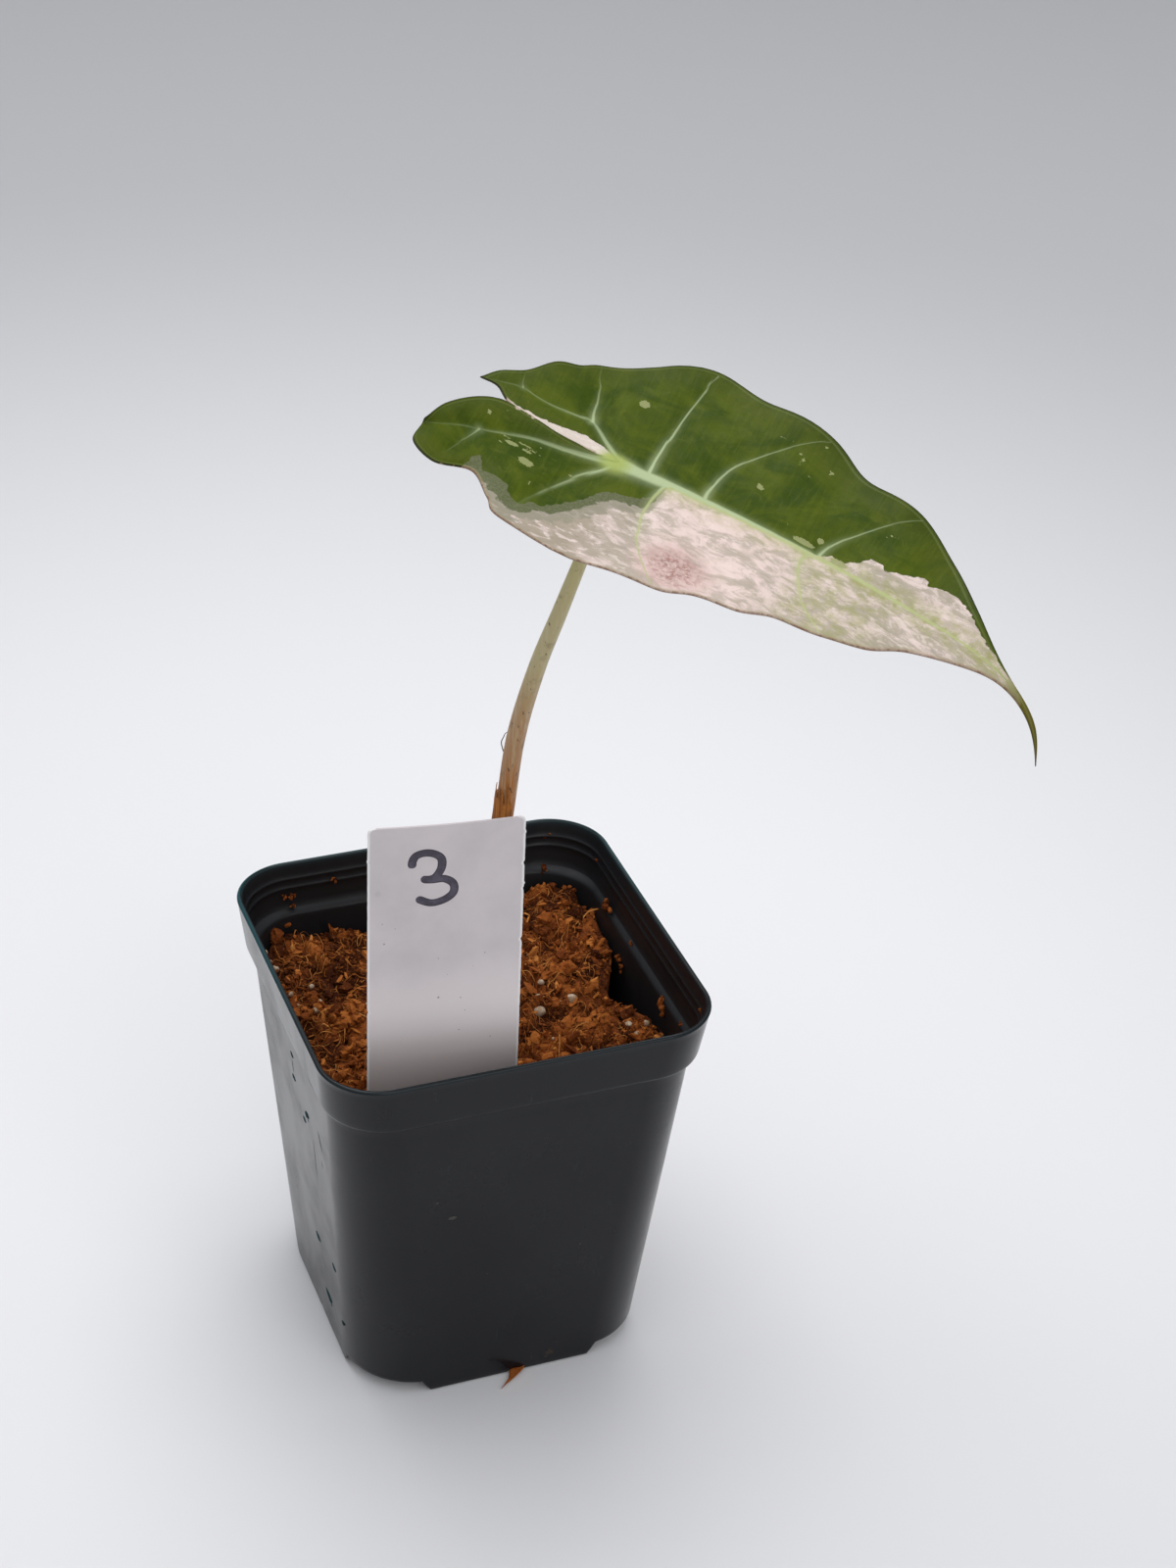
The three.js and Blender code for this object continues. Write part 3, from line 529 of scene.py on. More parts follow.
def makeDrops(finish):
    # thin dried drops on the outside: flattened balls, each with its own uneven edge
    random = np.random.default_rng(17)
    ball, faces = pebble(2)
    shapes, tints = [], []
    for wall, listed in (("x", pot["spots"]), ("y", pot["scuffs"])):
        for along, up, radius in listed:
            uneven = ball * (1 + 0.3 * cloud(ball * 1.5 + random.uniform(0, 50), 1.0, 17, 2))[:, None]
            if wall == "x":
                reach, centre = (pot["dropThick"], 2.4 * radius, 1.35 * radius), (-wallAt(up), along, up)
            else:
                reach, centre = (radius, pot["scuffThick"], 0.6 * radius), (along, -wallAt(up), up)
            shapes.append((uneven * reach + centre, faces))
            tints.append(np.full(len(ball), float(wall == "y")))
    points, faces = joinParts(shapes)
    putPiece("driedDrops", points, faces, finish, {"tint": np.concatenate(tints)})


def dropFinish():
    # matt blue-green where the drops stand on the side wall, dusty grey for the scuffs in front
    material, tree, shader = newFinish("driedDrop", 0.9, Specular_IOR_Level=0.05)
    mottle = between(tree, noiseOf(tree, objectPlace(tree), 900, 3), 0.4, 0.65)
    drop, scuff = (blendColour(tree, mottle, *potLook[key]) for key in ("drop", "scuff"))
    feed(tree, shader.inputs["Base Color"], blendColour(tree, readValue(tree, "tint"), drop, scuff))
    return material


def awayFrom(tree, place, centre):
    # the place less a centre given in millimetres
    return addNode(tree, "ShaderNodeVectorMath", {0: place, 1: tuple(-c * mm for c in centre)},
                   operation="ADD").outputs[0]


def lengthOf(tree, vector):
    # how long a vector is
    return addNode(tree, "ShaderNodeVectorMath", {0: vector}, operation="LENGTH").outputs["Value"]


def pressedAt(tree, place, centre, reach, lean):
    # a smooth hollow on the -X wall: 1 in its middle, 0 at its reach along Y and Z, sheared by lean
    way = partsOf(tree, awayFrom(tree, place, centre))
    up = reckon(tree, "MULTIPLY_ADD", way["Y"], lean, way["Z"])
    shares = {"X": times(tree, way["X"], 1 / (4 * mm)), "Y": times(tree, way["Y"], 1 / (reach[0] * mm)),
              "Z": times(tree, up, 1 / (reach[1] * mm))}
    return between(tree, lengthOf(tree, addNode(tree, "ShaderNodeCombineXYZ", shares).outputs[0]), 1.0, 0.0)


def spotAt(tree, place, centre, radius):
    # 1 inside a small spot with an uneven edge and 0 outside: the distance from its middle, and noise
    gap = lengthOf(tree, awayFrom(tree, place, centre))
    uneven = reckon(tree, "MULTIPLY_ADD", noiseOf(tree, place, 700, 2), radius * mm * 0.9, gap)
    return between(tree, uneven, radius * mm * 1.35, radius * mm * 0.9)


# Leaf

leaf = {
    "joint": (24.3, -14.8, 222.2), "heading": -33.6, "headingTurn": -0.22, "slope": 17.0,
    "droop": (75.0, 96.0, 6.0), "lobeRise": 15 / 45, "roll": (5.6, 0.026), "fold": (-7.9, 0.17),
    "curl": 0.009, "thickness": 0.5, "rimThickness": 0.24, "waveHeight": 1.1, "nearWave": 0.3,
    "waveLength": 25.0, "quilt": 0.75, "lobeOverlap": 1.1, "columns": 62, "stripColumns": 20,
}
# each half as rows from the midrib or the lobe's rib to the margin:
# (s where it leaves, u and v where it ends, its bow)
farRows = np.array([
    (-33.3, -33.3, 5.5, 0), (-28, -30.6, 12, 0), (-24.8, -25.9, 16.8, 0), (-18, -21.6, 23.6, 0),
    (-13, -16.9, 27.4, 0), (-8.9, -12.5, 31.9, 0), (0, -2.5, 36.8, 0.4), (6, 9.7, 41.8, 0.9),
    (12, 21.4, 37.4, 3.0), (18.5, 34.7, 34.2, 5.4), (30, 44.6, 27.2, 4.0), (44, 57.7, 23.7, 2.8),
    (55, 67, 17.4, 2.6), (66, 75.8, 9.2, 2.0), (77, 83.6, 3.9, 1.2), (88, 91.3, 1.1, 0.4),
    (99, 100.7, 0.8, 0.2), (108, 108.6, 0, 0)])
farInner = np.array([(-33.3, 5.5), (-29.4, 6.2), (-26.0, 2.8), (-20, 0.5), (-14.5, 0.3), (-9, 0.3), (-3, 0)])
farVeins = (2, 5, 7, 9, 11, 13)
nearRows = np.array([
    (-38, -38, -18.5, 0), (-34, -37.7, -26.1, 0), (-28, -32.5, -28.2, 0), (-20, -25.2, -23.3, 0),
    (-10, -20.1, -29.8, 0.5), (0, -15.9, -35.4, 3.0), (5, 2, -37, 3.6), (10.4, 18.8, -36, 5.2),
    (14.5, 27, -31.8, 4.6), (20, 36.8, -31.2, 4.6), (30, 44.6, -25.4, 4.0), (41.8, 55.2, -24.1, 3.9),
    (51, 63.8, -20.5, 3.4), (62, 70.6, -12.4, 2.3), (74, 80.9, -6.4, 1.6), (84, 88.4, -2.5, 0.9),
    (95, 97.4, -0.7, 0.3), (108, 108.6, 0, 0)])
nearInner = np.array([(-38.2, -18.5), (-36.2, -9.9), (-31.2, -2.4), (-25.2, 0.4), (-11.5, -0.5), (-3, 0)])
nearVeins = (2, 5, 7, 9, 11, 13)
farRib = np.array([(-33.3, 5.5), (-28, 8.8), (-24.8, 10.6), (-21.7, 10), (-17.6, 9.9), (-12.2, 10.8),
                   (-8.9, 11.3), (-4.2, 5.7), (0, 0)])
nearRib = np.array([(-38, -18.5), (-36, -16.6), (-31.3, -12.3), (-27.6, -10), (-22.7, -7.1), (-17.4, -4.5),
                    (-10.1, -2.8), (-5.8, -1.8), (0, 0)])
# how each vein looks: (half, row, half width at its root and end, paleness at its root and end)
veinLooks = (
    ("far", 2, 0.3, 0.15, 0.5, 0.1), ("far", 5, 0.5, 0.2, 0.75, 0.15), ("far", 7, 0.5, 0.2, 0.95, 0.45),
    ("far", 9, 0.55, 0.2, 0.85, 0.3), ("far", 11, 0.5, 0.2, 0.75, 0.3), ("far", 13, 0.35, 0.15, 0.3, 0.05),
    ("near", 2, 0.3, 0.12, 0.55, 0.1), ("near", 5, 0.5, 0.2, 0.9, 0.05), ("near", 7, 0.6, 0.35, 0.8, 0.65),
    ("near", 9, 0.35, 0.15, 0.2, 0.05), ("near", 11, 0.6, 0.35, 0.8, 0.65),
    ("near", 13, 0.3, 0.15, 0.3, 0.1))
# where the leaf has no green: the near half and the tip, then the strip along the far lobe's inner margin
creamOutlines = (
    ((-33, -29), (-27.3, -24.5), (-26.2, -19), (-25.1, -18.2), (-23.2, -21.8), (-19.8, -22.3),
     (-17.4, -23.1), (-17.5, -24.9), (-15.5, -26.7), (-13.8, -26.9), (-12.6, -24.4), (-10.3, -24.2),
     (-8.4, -22), (-6.4, -19.3), (-3.1, -14.7), (-0.9, -11.2), (0.4, -9.9), (2.8, -9.3), (4.8, -8.6),
     (6.6, -7.8), (8, -6), (9, -3.9), (10.2, -0.6), (30, 0), (43, 0.4), (46.2, 2.7), (49.1, 2.3),
     (51.6, 4.5), (53.3, 7), (55.2, 7.2), (56.5, 5.8), (60.1, 7.1), (62.9, 9.1), (64.6, 9.5), (65.3, 8.1),
     (68.1, 9.5), (71.2, 9.5), (73.5, 8.6), (76.4, 6.6), (79.6, 4.4), (85.5, 2), (94, 0.4), (98, -8),
     (98, -45), (-33, -45)),
    ((-26.6, 3.6), (-25.9, 3.4), (-22.1, 2.9), (-18.1, 2.8), (-15, 3.3), (-11.4, 4.5), (-9.1, 4.9),
     (-5.7, 3.8), (-2.9, 2.6), (-1.8, 0.8), (-2.6, 0.01), (-24, 0.01), (-26.5, 1.5)))
# small half-green flecks: (u, v, reach along u, reach along v)
palePatches = (
    (-0.8, 23.9, 1.4, 1.35), (4.3, 36.1, 0.35, 0.5), (31.2, 24.6, 0.4, 1.3), (30.3, 26.6, 0.5, 0.5),
    (34, 21.3, 1.1, 0.25), (37.1, 25.2, 0.6, 0.7), (33.7, 31.2, 0.5, 0.3), (26.8, 11.9, 0.9, 0.7),
    (26.4, 13, 0.5, 0.5), (42.7, 5.2, 0.8, 0.9), (39.9, 2.6, 2.6, 0.9), (54, 15.6, 1.6, 0.18),
    (53, 14.6, 1.0, 0.15), (26.4, 28.8, 1.5, 0.3), (48.2, 1.6, 2.0, 1.1), (-28, -5, 0.6, 0.6),
    (-25, -1.6, 0.35, 0.5), (-22.2, -8, 1.4, 0.25), (-21.1, -9.4, 1.5, 0.8), (-18.6, -7.9, 2.0, 0.3),
    (-16.6, -8.6, 1.5, 0.25), (-17.6, -9.6, 1.2, 0.5), (-16.9, -13, 1.8, 1.2), (-7.9, -9.6, 0.5, 0.4),
    (-14.3, -18.6, 0.15, 0.9), (-15.7, -5.9, 0.3, 0.3), (-23.3, -10.6, 0.7, 0.3), (35.3, 5.4, 0.4, 0.4))
# colours of the leaf; where there are two, the second is mixed into the first
leafLook = {
    "green": ((50, 69, 1), (78, 91, 9)), "rimSheen": (70, 80, 26), "paleLine": (98, 110, 28),
    "darkLine": (42, 60, 4), "grain": (60, 82, 12), "patch": (96, 104, 34),
    "cream": ((194, 180, 168), (214, 196, 190)), "greyPatch": (172, 161, 148), "whitePatch": (232, 212, 207),
    "whiteStroke": (230, 214, 206), "greyStroke": (158, 148, 136), "speckle": (150, 138, 124),
    "haze": (156, 156, 100), "rosy": (238, 214, 206), "nearLobe": (162, 150, 132), "sinus": (222, 210, 200),
    "halo": (206, 172, 166), "blush": (156, 114, 108), "band": ((90, 97, 64), (112, 113, 86)),
    "outerBand": (142, 138, 120), "fleck": (150, 154, 104), "vein": ((184, 198, 154), (178, 186, 130)),
    "joint": (158, 172, 76), "rimVeinAndHighlight": (140, 148, 98), "rimTan": (158, 138, 112),
    "edge": ((44, 48, 30), (118, 82, 62)), "tip": (108, 98, 34), "under": ((92, 84, 60), (176, 146, 134)),
    "underVein": (150, 148, 104),
}


def spineFrame(u):
    # the midrib's direction, the blade's direction across and its upward direction at each u
    droop, at, over = leaf["droop"]
    s = np.maximum(u, 0)
    slope = leaf["slope"] + droop / (1 + np.exp(-(u - at) / over)) + leaf["lobeRise"] * np.maximum(-u, 0)
    slope = np.radians(slope)
    heading = np.radians(leaf["heading"] + leaf["headingTurn"] * s)
    roll = np.radians(leaf["roll"][0] + leaf["roll"][1] * s)
    level = np.stack([np.cos(heading), np.sin(heading), 0 * u], -1)
    ahead = level * np.cos(slope)[:, None] - np.array([0, 0, 1]) * np.sin(slope)[:, None]
    left = np.stack([-level[:, 1], level[:, 0], 0 * u], -1)
    across = left * np.cos(roll)[:, None] + np.cross(ahead, left) * np.sin(roll)[:, None]
    return ahead, across, np.cross(ahead, across)


def spineLine():
    # the midrib in space: the sum of short steps along a heading and slope that change with u, and its frame
    u = np.arange(-62, 121, 0.25)
    steps = spineFrame((u[1:] + u[:-1]) / 2)[0] * 0.25
    middle = np.vstack([np.zeros(3), np.cumsum(steps, 0)])
    middle += np.array(leaf["joint"]) - middle[np.argmin(np.abs(u))]
    return (u, middle, *spineFrame(u)[1:])


spine = spineLine()


def alongSpine(values, u):
    # the spine's points or directions read between its steps
    return np.stack([np.interp(u, spine[0], values[:, k]) for k in range(3)], -1)


def bladeSurface(u, v):
    # each half leaves the midrib at the fold angle and curls up along an arc to its margin
    fold = np.radians(leaf["fold"][0] + leaf["fold"][1] * np.maximum(u, 0))
    end = fold + leaf["curl"] * np.abs(v)
    sideways = (np.sin(end) - np.sin(fold)) / leaf["curl"]
    upwards = (np.cos(fold) - np.cos(end)) / leaf["curl"]
    across, up = alongSpine(spine[2], u), alongSpine(spine[3], u)
    return alongSpine(spine[1], u) + across * (np.sign(v) * sideways)[:, None] + up * upwards[:, None]


def bladeNormal(u, v):
    # the cross product of the surface's small steps along u and v
    d = 0.25
    along = bladeSurface(u + d, v) - bladeSurface(u - d, v)
    across = bladeSurface(u, v + d) - bladeSurface(u, v - d)
    n = np.cross(along, across)
    return n / np.linalg.norm(n, axis=1)[:, None]


def ribAt(rib, s):
    # where a row starts: on the midrib ahead of the joint, and on the lobe's rib behind it
    return np.column_stack([s, np.where(s < 0, np.interp(s, rib[:, 0], rib[:, 1]), 0)])


def rowCurve(rows, rib, place, w):
    # a row runs straight from its start to the margin, bowed back by a parabola
    s, edgeU, edgeV, bow = throughPoints(rows, place).T
    s = np.minimum(s, rows[-1, 0])
    start = ribAt(rib, s)
    u = start[:, :1] + (edgeU - start[:, 0])[:, None] * w - bow[:, None] * 4 * w * (1 - w)
    v = start[:, 1:] + (edgeV - start[:, 1])[:, None] * w
    return u, v, s


def rowPlaces(rows, common):
    # the place of the row that leaves the midrib at each s of a list
    dense = np.linspace(0, len(rows) - 1, 4000)
    s = throughPoints(rows, dense)[:, 0]
    return np.interp(common, np.maximum.accumulate(s), dense)


def clustered(low, high, step, centres):
    # a list from low to high, closer together beside each centre
    near = np.array([-1.5, -1.0, -0.65, -0.4, -0.2, 0, 0.2, 0.4, 0.65, 1.0, 1.5])
    values = np.concatenate([np.arange(low, high, step), [low, high], *(c + near for c in centres)])
    values = np.unique(np.clip(values, low, high).round(3))
    keep = np.concatenate([[True], np.diff(values) > 0.11])
    keep[-1] = True
    keep |= np.isin(values, np.round(centres, 3))
    return values[keep]


def leafHalf(rows, inner, rib, veins, common, sign):
    # a grid from the rib to the margin and a strip from the lobe's rib to its inner margin, flat in (u, v)
    lobe = clustered(rows[0, 0], 0, 0.75, [rows[k, 0] for k in veins if rows[k, 0] < 0])
    places = rowPlaces(rows, np.concatenate([lobe[:-1], common]))
    x = np.linspace(0, 1, leaf["columns"])
    w = 0.55 * x + 0.45 * (0.5 - 0.5 * np.cos(np.pi * x))
    u, v, s = rowCurve(rows, rib, places, w[None, :])
    start, end = ribAt(rib, s), throughPoints(rows, places)[:, 1:3]
    length = np.linalg.norm(end - start, axis=1)
    fade = np.minimum(1, length / 16)[:, None]
    height = leaf["waveHeight"] * (1 if sign > 0 else leaf["nearWave"])
    wave = height * fade * w ** 3 * np.sin(2 * np.pi * u / leaf["waveLength"] + sign)
    stops = np.array([0, *veins, len(rows) - 1])
    after = np.clip(np.searchsorted(stops, places, side="right"), 1, len(stops) - 1)
    share = (places - stops[after - 1]) / (stops[after] - stops[after - 1])
    swell = np.sin(np.pi * np.clip(share, 0, 1))[:, None] ** 0.8
    lift = wave + leaf["quilt"] * fade * swell * 4 * w * (1 - w)
    outer = dict(u=u, v=v, lift=lift, fade=fade * np.ones_like(u), rim=(1 - w) * length[:, None])
    count = len(lobe)
    z = np.linspace(0, 1, leaf["stripColumns"])
    innerEdge = throughPoints(inner, places[:count])
    first = start[:count]
    su = first[:, :1] + (innerEdge[:, :1] - first[:, :1]) * z
    sv = first[:, 1:] + (innerEdge[:, 1:] - first[:, 1:]) * z
    over = leaf["lobeOverlap"] * z * smooth(0, 9, -s[:count])[:, None] if sign < 0 else 0 * su
    lobeLength = np.linalg.norm(innerEdge - first, axis=1)[:, None]
    swelling = 0.35 * fade[:count] * np.sin(np.pi * z) * smooth(0, 6, lobeLength)
    strip = dict(u=su, v=sv, lift=over + swelling, fade=fade[:count] * np.ones_like(su),
                 rim=(1 - z) * lobeLength + 8 * smooth(-4, 0, s[:count])[:, None])
    return [(outer, sign < 0), (strip, sign > 0)]


def veinLines():
    # each named vein as a flat line in (u, v), with its looks
    lines = [(np.array([(-1.5, 0), (30, 0), (70, 0), (108, 0)]), 1.75, 0.3, 1.0, 0.7, 1.0)]
    for rib in (farRib, nearRib):
        line = throughPoints(rib[::-1], np.linspace(0, len(rib) - 1, 60))
        lines.append((line, 1.05, 0.3, 0.75, 0.15, 0.6))
    w = np.linspace(0, 0.97, 26)[None, :]
    for half, row, root, tip, pale, paleEnd in veinLooks:
        rows, rib = (farRows, farRib) if half == "far" else (nearRows, nearRib)
        u, v, _ = rowCurve(rows, rib, np.array([float(row)]), w)
        kink = 0.55 * cloud(np.column_stack([v[0], 0 * v[0], u[0]]), 5.0, 17 + row, 2) * smooth(0, 0.2, w[0])
        lines.append((np.column_stack([u[0] + kink, v[0]]), 0.8 * root, tip, pale, paleEnd, 0.45))
    return lines


def leafGrid():
    # both halves' grids as columns of values, with their faces and with the points that meet made one
    common = clustered(0, 108, 0.85, [*farRows[farVeins[2:], 0], *nearRows[nearVeins[2:], 0]])
    patches = leafHalf(farRows, farInner, farRib, farVeins, common, 1)
    patches += leafHalf(nearRows, nearInner, nearRib, nearVeins, common, -1)
    names = ("u", "v", "lift", "fade", "rim")
    columns = {key: np.concatenate([p[key].ravel() for p, _ in patches]) for key in names}
    faces, first = [], 0
    for patch, flip in patches:
        quads = gridFaces(*patch["u"].shape) + first
        faces.append(quads if flip else quads[:, ::-1])
        first += patch["u"].size
    key = np.round(np.column_stack([columns["u"], columns["v"]]), 2) + 0.0
    _, kept, same = np.unique(key, axis=0, return_index=True, return_inverse=True)
    return [columns[k][kept] for k in names], same.reshape(-1)[np.vstack(faces)]


def veinsAt(flat):
    # how pale and how raised each place is: the strongest vein there, with a core, a glow and a ridge
    pale, ridge = np.zeros(len(flat)), np.zeros(len(flat))
    for line, root, tip, start, end, height in veinLines():
        gap, along = toLine(flat, line)
        width = root + (tip - root) * along ** 0.7 + 0.8 * root * np.exp(-along / 0.1)
        bright = start + (end - start) * along ** 0.8
        core = smooth(1.35, 0.15, gap / width)
        glow = 0.52 * (1 - 0.8 * along) * np.exp(-(gap / (width + 1.2)) ** 2)
        pale = np.maximum(pale, bright * np.maximum(core, glow))
        ridge = np.maximum(ridge, height * (1 - 0.65 * along) * np.exp(-(gap / (1.1 * width)) ** 2))
    return pale, ridge


def makeLeaf(finish):
    # the flat grid laid on the blade's surface and lifted, with raised veins, as two skins joined at the rim
    (u, v, lift, fade, rim), faces = leafGrid()
    flat = np.column_stack([u, v])
    veinPale, ridge = veinsAt(flat)
    cream = np.max([insideOutline(flat, outline) for outline in creamOutlines], axis=0)
    pale = [min(a, b) * (1 - np.hypot((u - x) / a, (v - y) / b)) for x, y, a, b in palePatches]
    pale = np.max(pale, axis=0)
    greyBand = (2.5 + 1.3 * smooth(-11, -15, u)) * smooth(12, 8, u) * (v < -0.8)
    normal = bladeNormal(u, v)
    grain = np.column_stack([u, v * 0.7, 0 * u])
    crinkle = 0.2 * cloud(grain, 5.5, 11, 3) + 0.05 * cloud(grain, 1.6, 19, 2)
    middle = bladeSurface(u, v) + normal * (lift + crinkle * fade * smooth(0, 2.5, rim))[:, None]
    half = leaf["rimThickness"] / 2 + (leaf["thickness"] - leaf["rimThickness"]) / 2 * smooth(0, 3, rim)
    half = half * (0.6 + 0.4 * smooth(112, 90, u))
    roll = 0.14 * np.exp(-((rim - 0.35) / 0.35) ** 2)
    upper = middle + normal * (half + 0.35 * ridge * fade + roll)[:, None]
    under = middle - normal * (half + 1.0 * ridge * fade)[:, None]
    points, faces = closeSheet(upper, under, faces)
    twice = {"veinPale": veinPale, "cream": np.clip(cream, -6, 6), "pale": np.clip(pale, -3, 3),
             "greyBand": greyBand, "rim": np.clip(rim, 0, 8)}
    values = {name: np.concatenate([array, array]) for name, array in twice.items()}
    values["underside"] = np.repeat([0.0, 1.0], len(u))
    plan = np.vstack([flat, flat]) / 100 + 0.5
    putPiece("leafBlade", points, faces, finish, values, plan, stands=("leaf_blade",))


def greenColour(tree, place, lines, rim):
    # clouds of two greens, a duller painted sheen by the margin, lines across, fine grain, yellower patches
    broad = noiseOf(tree, place, 9, 4, 0.6, 0.8)
    fine = noiseOf(tree, place, 120, 5, 0.7)
    patches = noiseOf(tree, place, 17, 5, 0.7, 1.5)
    dark, light = leafLook["green"]
    return layered(tree, dark, (between(tree, broad, 0.34, 0.66), light),
                   # painted sheen: greyer towards the margin
                   (between(tree, rim, 10, 1.5, 0, 0.55), leafLook["rimSheen"]),
                   (between(tree, lines, 0.5, 0.72, 0, 0.22), leafLook["paleLine"]),
                   (between(tree, lines, 0.46, 0.3, 0, 0.25), leafLook["darkLine"]),
                   (between(tree, fine, 0.5, 0.72, 0, 0.4), leafLook["grain"]),
                   (between(tree, patches, 0.58, 0.72, 0, 0.4), leafLook["patch"]))


def creamColour(tree, place, parts, across, speckle):
    # two creams in clouds, with grey and white patches and strokes, green by the midrib, and a pink blush
    along = parts["X"]
    patches = noiseOf(tree, stretched(tree, place, (12, 22, 1), 6), 1.0, 5, 0.64, 0.9)
    brush = noiseOf(tree, stretched(tree, place, (30, 60, 1), 8), 1.0, 4, 0.62, 0.8)
    clouds = noiseOf(tree, place, 11, 4, 0.6, 0.4)
    mottle = noiseOf(tree, place, 70, 5, 0.78, 0.6)
    olive = times(tree, between(tree, along, 0.38, 0.46), between(tree, along, 0.7, 0.58),
                  between(tree, parts["Y"], 0.0, -0.01), 0.7)
    haze = times(tree, reckon(tree, "MAXIMUM", olive, between(tree, across, 0.075, 0.0, 0.1, 1.0)),
                 between(tree, along, -0.02, 0.08),
                 between(tree, noiseOf(tree, place, 38, 4, 0.65), 0.3, 0.68, 0.1, 0.95))
    rosy = times(tree, between(tree, along, 0.08, 0.18), between(tree, along, 0.46, 0.34, 0, 0.4),
                 between(tree, patches, 0.42, 0.56, 0.3, 1))
    nearLobe = times(tree, between(tree, along, 0.1, -0.04), between(tree, brush, 0.62, 0.5, 0.1, 0.8))
    sinus = times(tree, between(tree, parts["Y"], 0.0, 0.006), between(tree, along, 0.0, -0.02, 0, 0.75))
    halo = times(tree, blushAt(tree, place, (0.2, -0.26), 0.13), between(tree, brush, 0.35, 0.6, 0.25, 0.75))
    blush = times(tree, blushAt(tree, place, (0.205, -0.262), 0.09),
                  between(tree, mottle, 0.42, 0.6, 0.05, 0.9))
    warm, pink = leafLook["cream"]
    return layered(tree, warm, (between(tree, clouds, 0.4, 0.6), pink),
                   (between(tree, patches, 0.54, 0.465, 0, 0.7), leafLook["greyPatch"]),
                   (between(tree, patches, 0.53, 0.6, 0, 0.7), leafLook["whitePatch"]),
                   (between(tree, brush, 0.53, 0.62, 0, 0.6), leafLook["whiteStroke"]),
                   (between(tree, brush, 0.46, 0.37, 0, 0.4), leafLook["greyStroke"]),
                   (between(tree, speckle, 0.54, 0.68, 0, 0.36), leafLook["speckle"]),
                   (haze, leafLook["haze"]), (rosy, leafLook["rosy"]), (nearLobe, leafLook["nearLobe"]),
                   (sinus, leafLook["sinus"]), (halo, leafLook["halo"]), (blush, leafLook["blush"]))


def leafFinish():
    # green and cream meet at the sector's ragged edge, under a grey band, flecks, pale veins and a fine rim
    material, tree, shader = newFinish("leafLamina", 0.42, IOR=1.4, Specular_IOR_Level=0.1)
    plan = addNode(tree, "ShaderNodeUVMap", uv_map="plan").outputs["UV"]
    place = addNode(tree, "ShaderNodeVectorMath", {0: plan, 1: (-0.5, -0.5, 0)}, operation="ADD").outputs[0]
    parts = partsOf(tree, place)
    across = reckon(tree, "ABSOLUTE", parts["Y"])
    mirrored = addNode(tree, "ShaderNodeCombineXYZ", {"X": parts["X"], "Y": across}).outputs[0]
    rim, vein, bandWidth = (readValue(tree, name) for name in ("rim", "veinPale", "greyBand"))
    lines = noiseOf(tree, stretched(tree, mirrored, (120, 11, 1), -14), 1.0, 4, 0.6, 0.9)
    speckle = noiseOf(tree, place, 170, 5, 0.75)
    green = greenColour(tree, place, lines, rim)
    cream = creamColour(tree, place, parts, across, speckle)
    # how far inside the cream sector, with a ragged edge, and the grey band along that edge
    unevenness = reckon(tree, "SUBTRACT", noiseOf(tree, place, 48, 4, 0.6), 0.5)
    creamField = reckon(tree, "MULTIPLY_ADD", unevenness, 2.0, readValue(tree, "cream"))
    creamShare = between(tree, creamField, -0.06, 0.08)
    band = reckon(tree, "SUBTRACT", bandWidth, creamField)
    bandEdge = reckon(tree, "MULTIPLY_ADD", noiseOf(tree, place, 40, 3), -2.4, band)
    bandShare = between(tree, bandEdge, -1.3, -0.9)
    torn = noiseOf(tree, stretched(tree, place, (40, 70, 1)), 1.0, 5, 0.7)
    ragged = reckon(tree, "MULTIPLY_ADD", torn, -7.0, band)
    outer = times(tree, between(tree, ragged, -6.3, -5.7, 0, 0.75), between(tree, bandWidth, 0.1, 1.5))
    grey = blendColour(tree, between(tree, speckle, 0.4, 0.65), *leafLook["band"])
    cream = layered(tree, cream, (outer, leafLook["outerBand"]), (bandShare, grey))
    flecks = reckon(tree, "SUBTRACT", noiseOf(tree, place, 170, 3), 0.5)
    flecks = between(tree, reckon(tree, "ADD", flecks, readValue(tree, "pale")), 0.02, 0.12, 0, 0.85)
    joint = times(tree, blushAt(tree, place, (-0.012, 0.0), 0.05), 0.75)
    # a pale line just inside the margin: partly the margin's vein, partly a painted highlight on the rolled
    # rim
    line = times(tree, between(tree, rim, 1.1, 0.85), between(tree, rim, 0.5, 0.75), 0.2)
    tan = times(tree, between(tree, rim, 0.9, 0.3), creamShare, 0.6)
    dashes = between(tree, noiseOf(tree, place, 55, 4, 0.75), 0.44, 0.6, 0, 0.8)
    edge = times(tree, between(tree, rim, 0.4, 0.08), blendShare(tree, creamShare, 0.9, dashes))
    under = blendColour(tree, creamShare, *leafLook["under"])
    under = blendColour(tree, between(tree, vein, 0.05, 0.8), under, leafLook["underVein"])
    colour = layered(tree, blendColour(tree, creamShare, green, cream), (flecks, leafLook["fleck"]),
                     (between(tree, vein, 0.03, 0.9, 0, 0.9),
                      blendColour(tree, creamShare, *leafLook["vein"])),
                     (joint, leafLook["joint"]), (line, leafLook["rimVeinAndHighlight"]), (tan, leafLook["rimTan"]),
                     (edge, blendColour(tree, creamShare, *leafLook["edge"])),
                     (between(tree, parts["X"], 0.86, 0.96, 0, 0.85), leafLook["tip"]),
                     (times(tree, readValue(tree, "underside"), 0.85), under))
    feed(tree, shader.inputs["Base Color"], colour)
    feed(tree, shader.inputs["Roughness"], between(tree, noiseOf(tree, place, 30, 3), 0.3, 0.7, 0.36, 0.52))
    cells = {"Vector": place, "Scale": 85.0}
    cells = addNode(tree, "ShaderNodeTexVoronoi", cells, feature="DISTANCE_TO_EDGE")
    raised(tree, shader, (noiseOf(tree, place, 40, 3, 0.6), 0.35, 0.25),
           (between(tree, cells.outputs["Distance"], 0.0, 0.12), 0.2, 0.05), (lines, 0.2, 0.1))
    return material


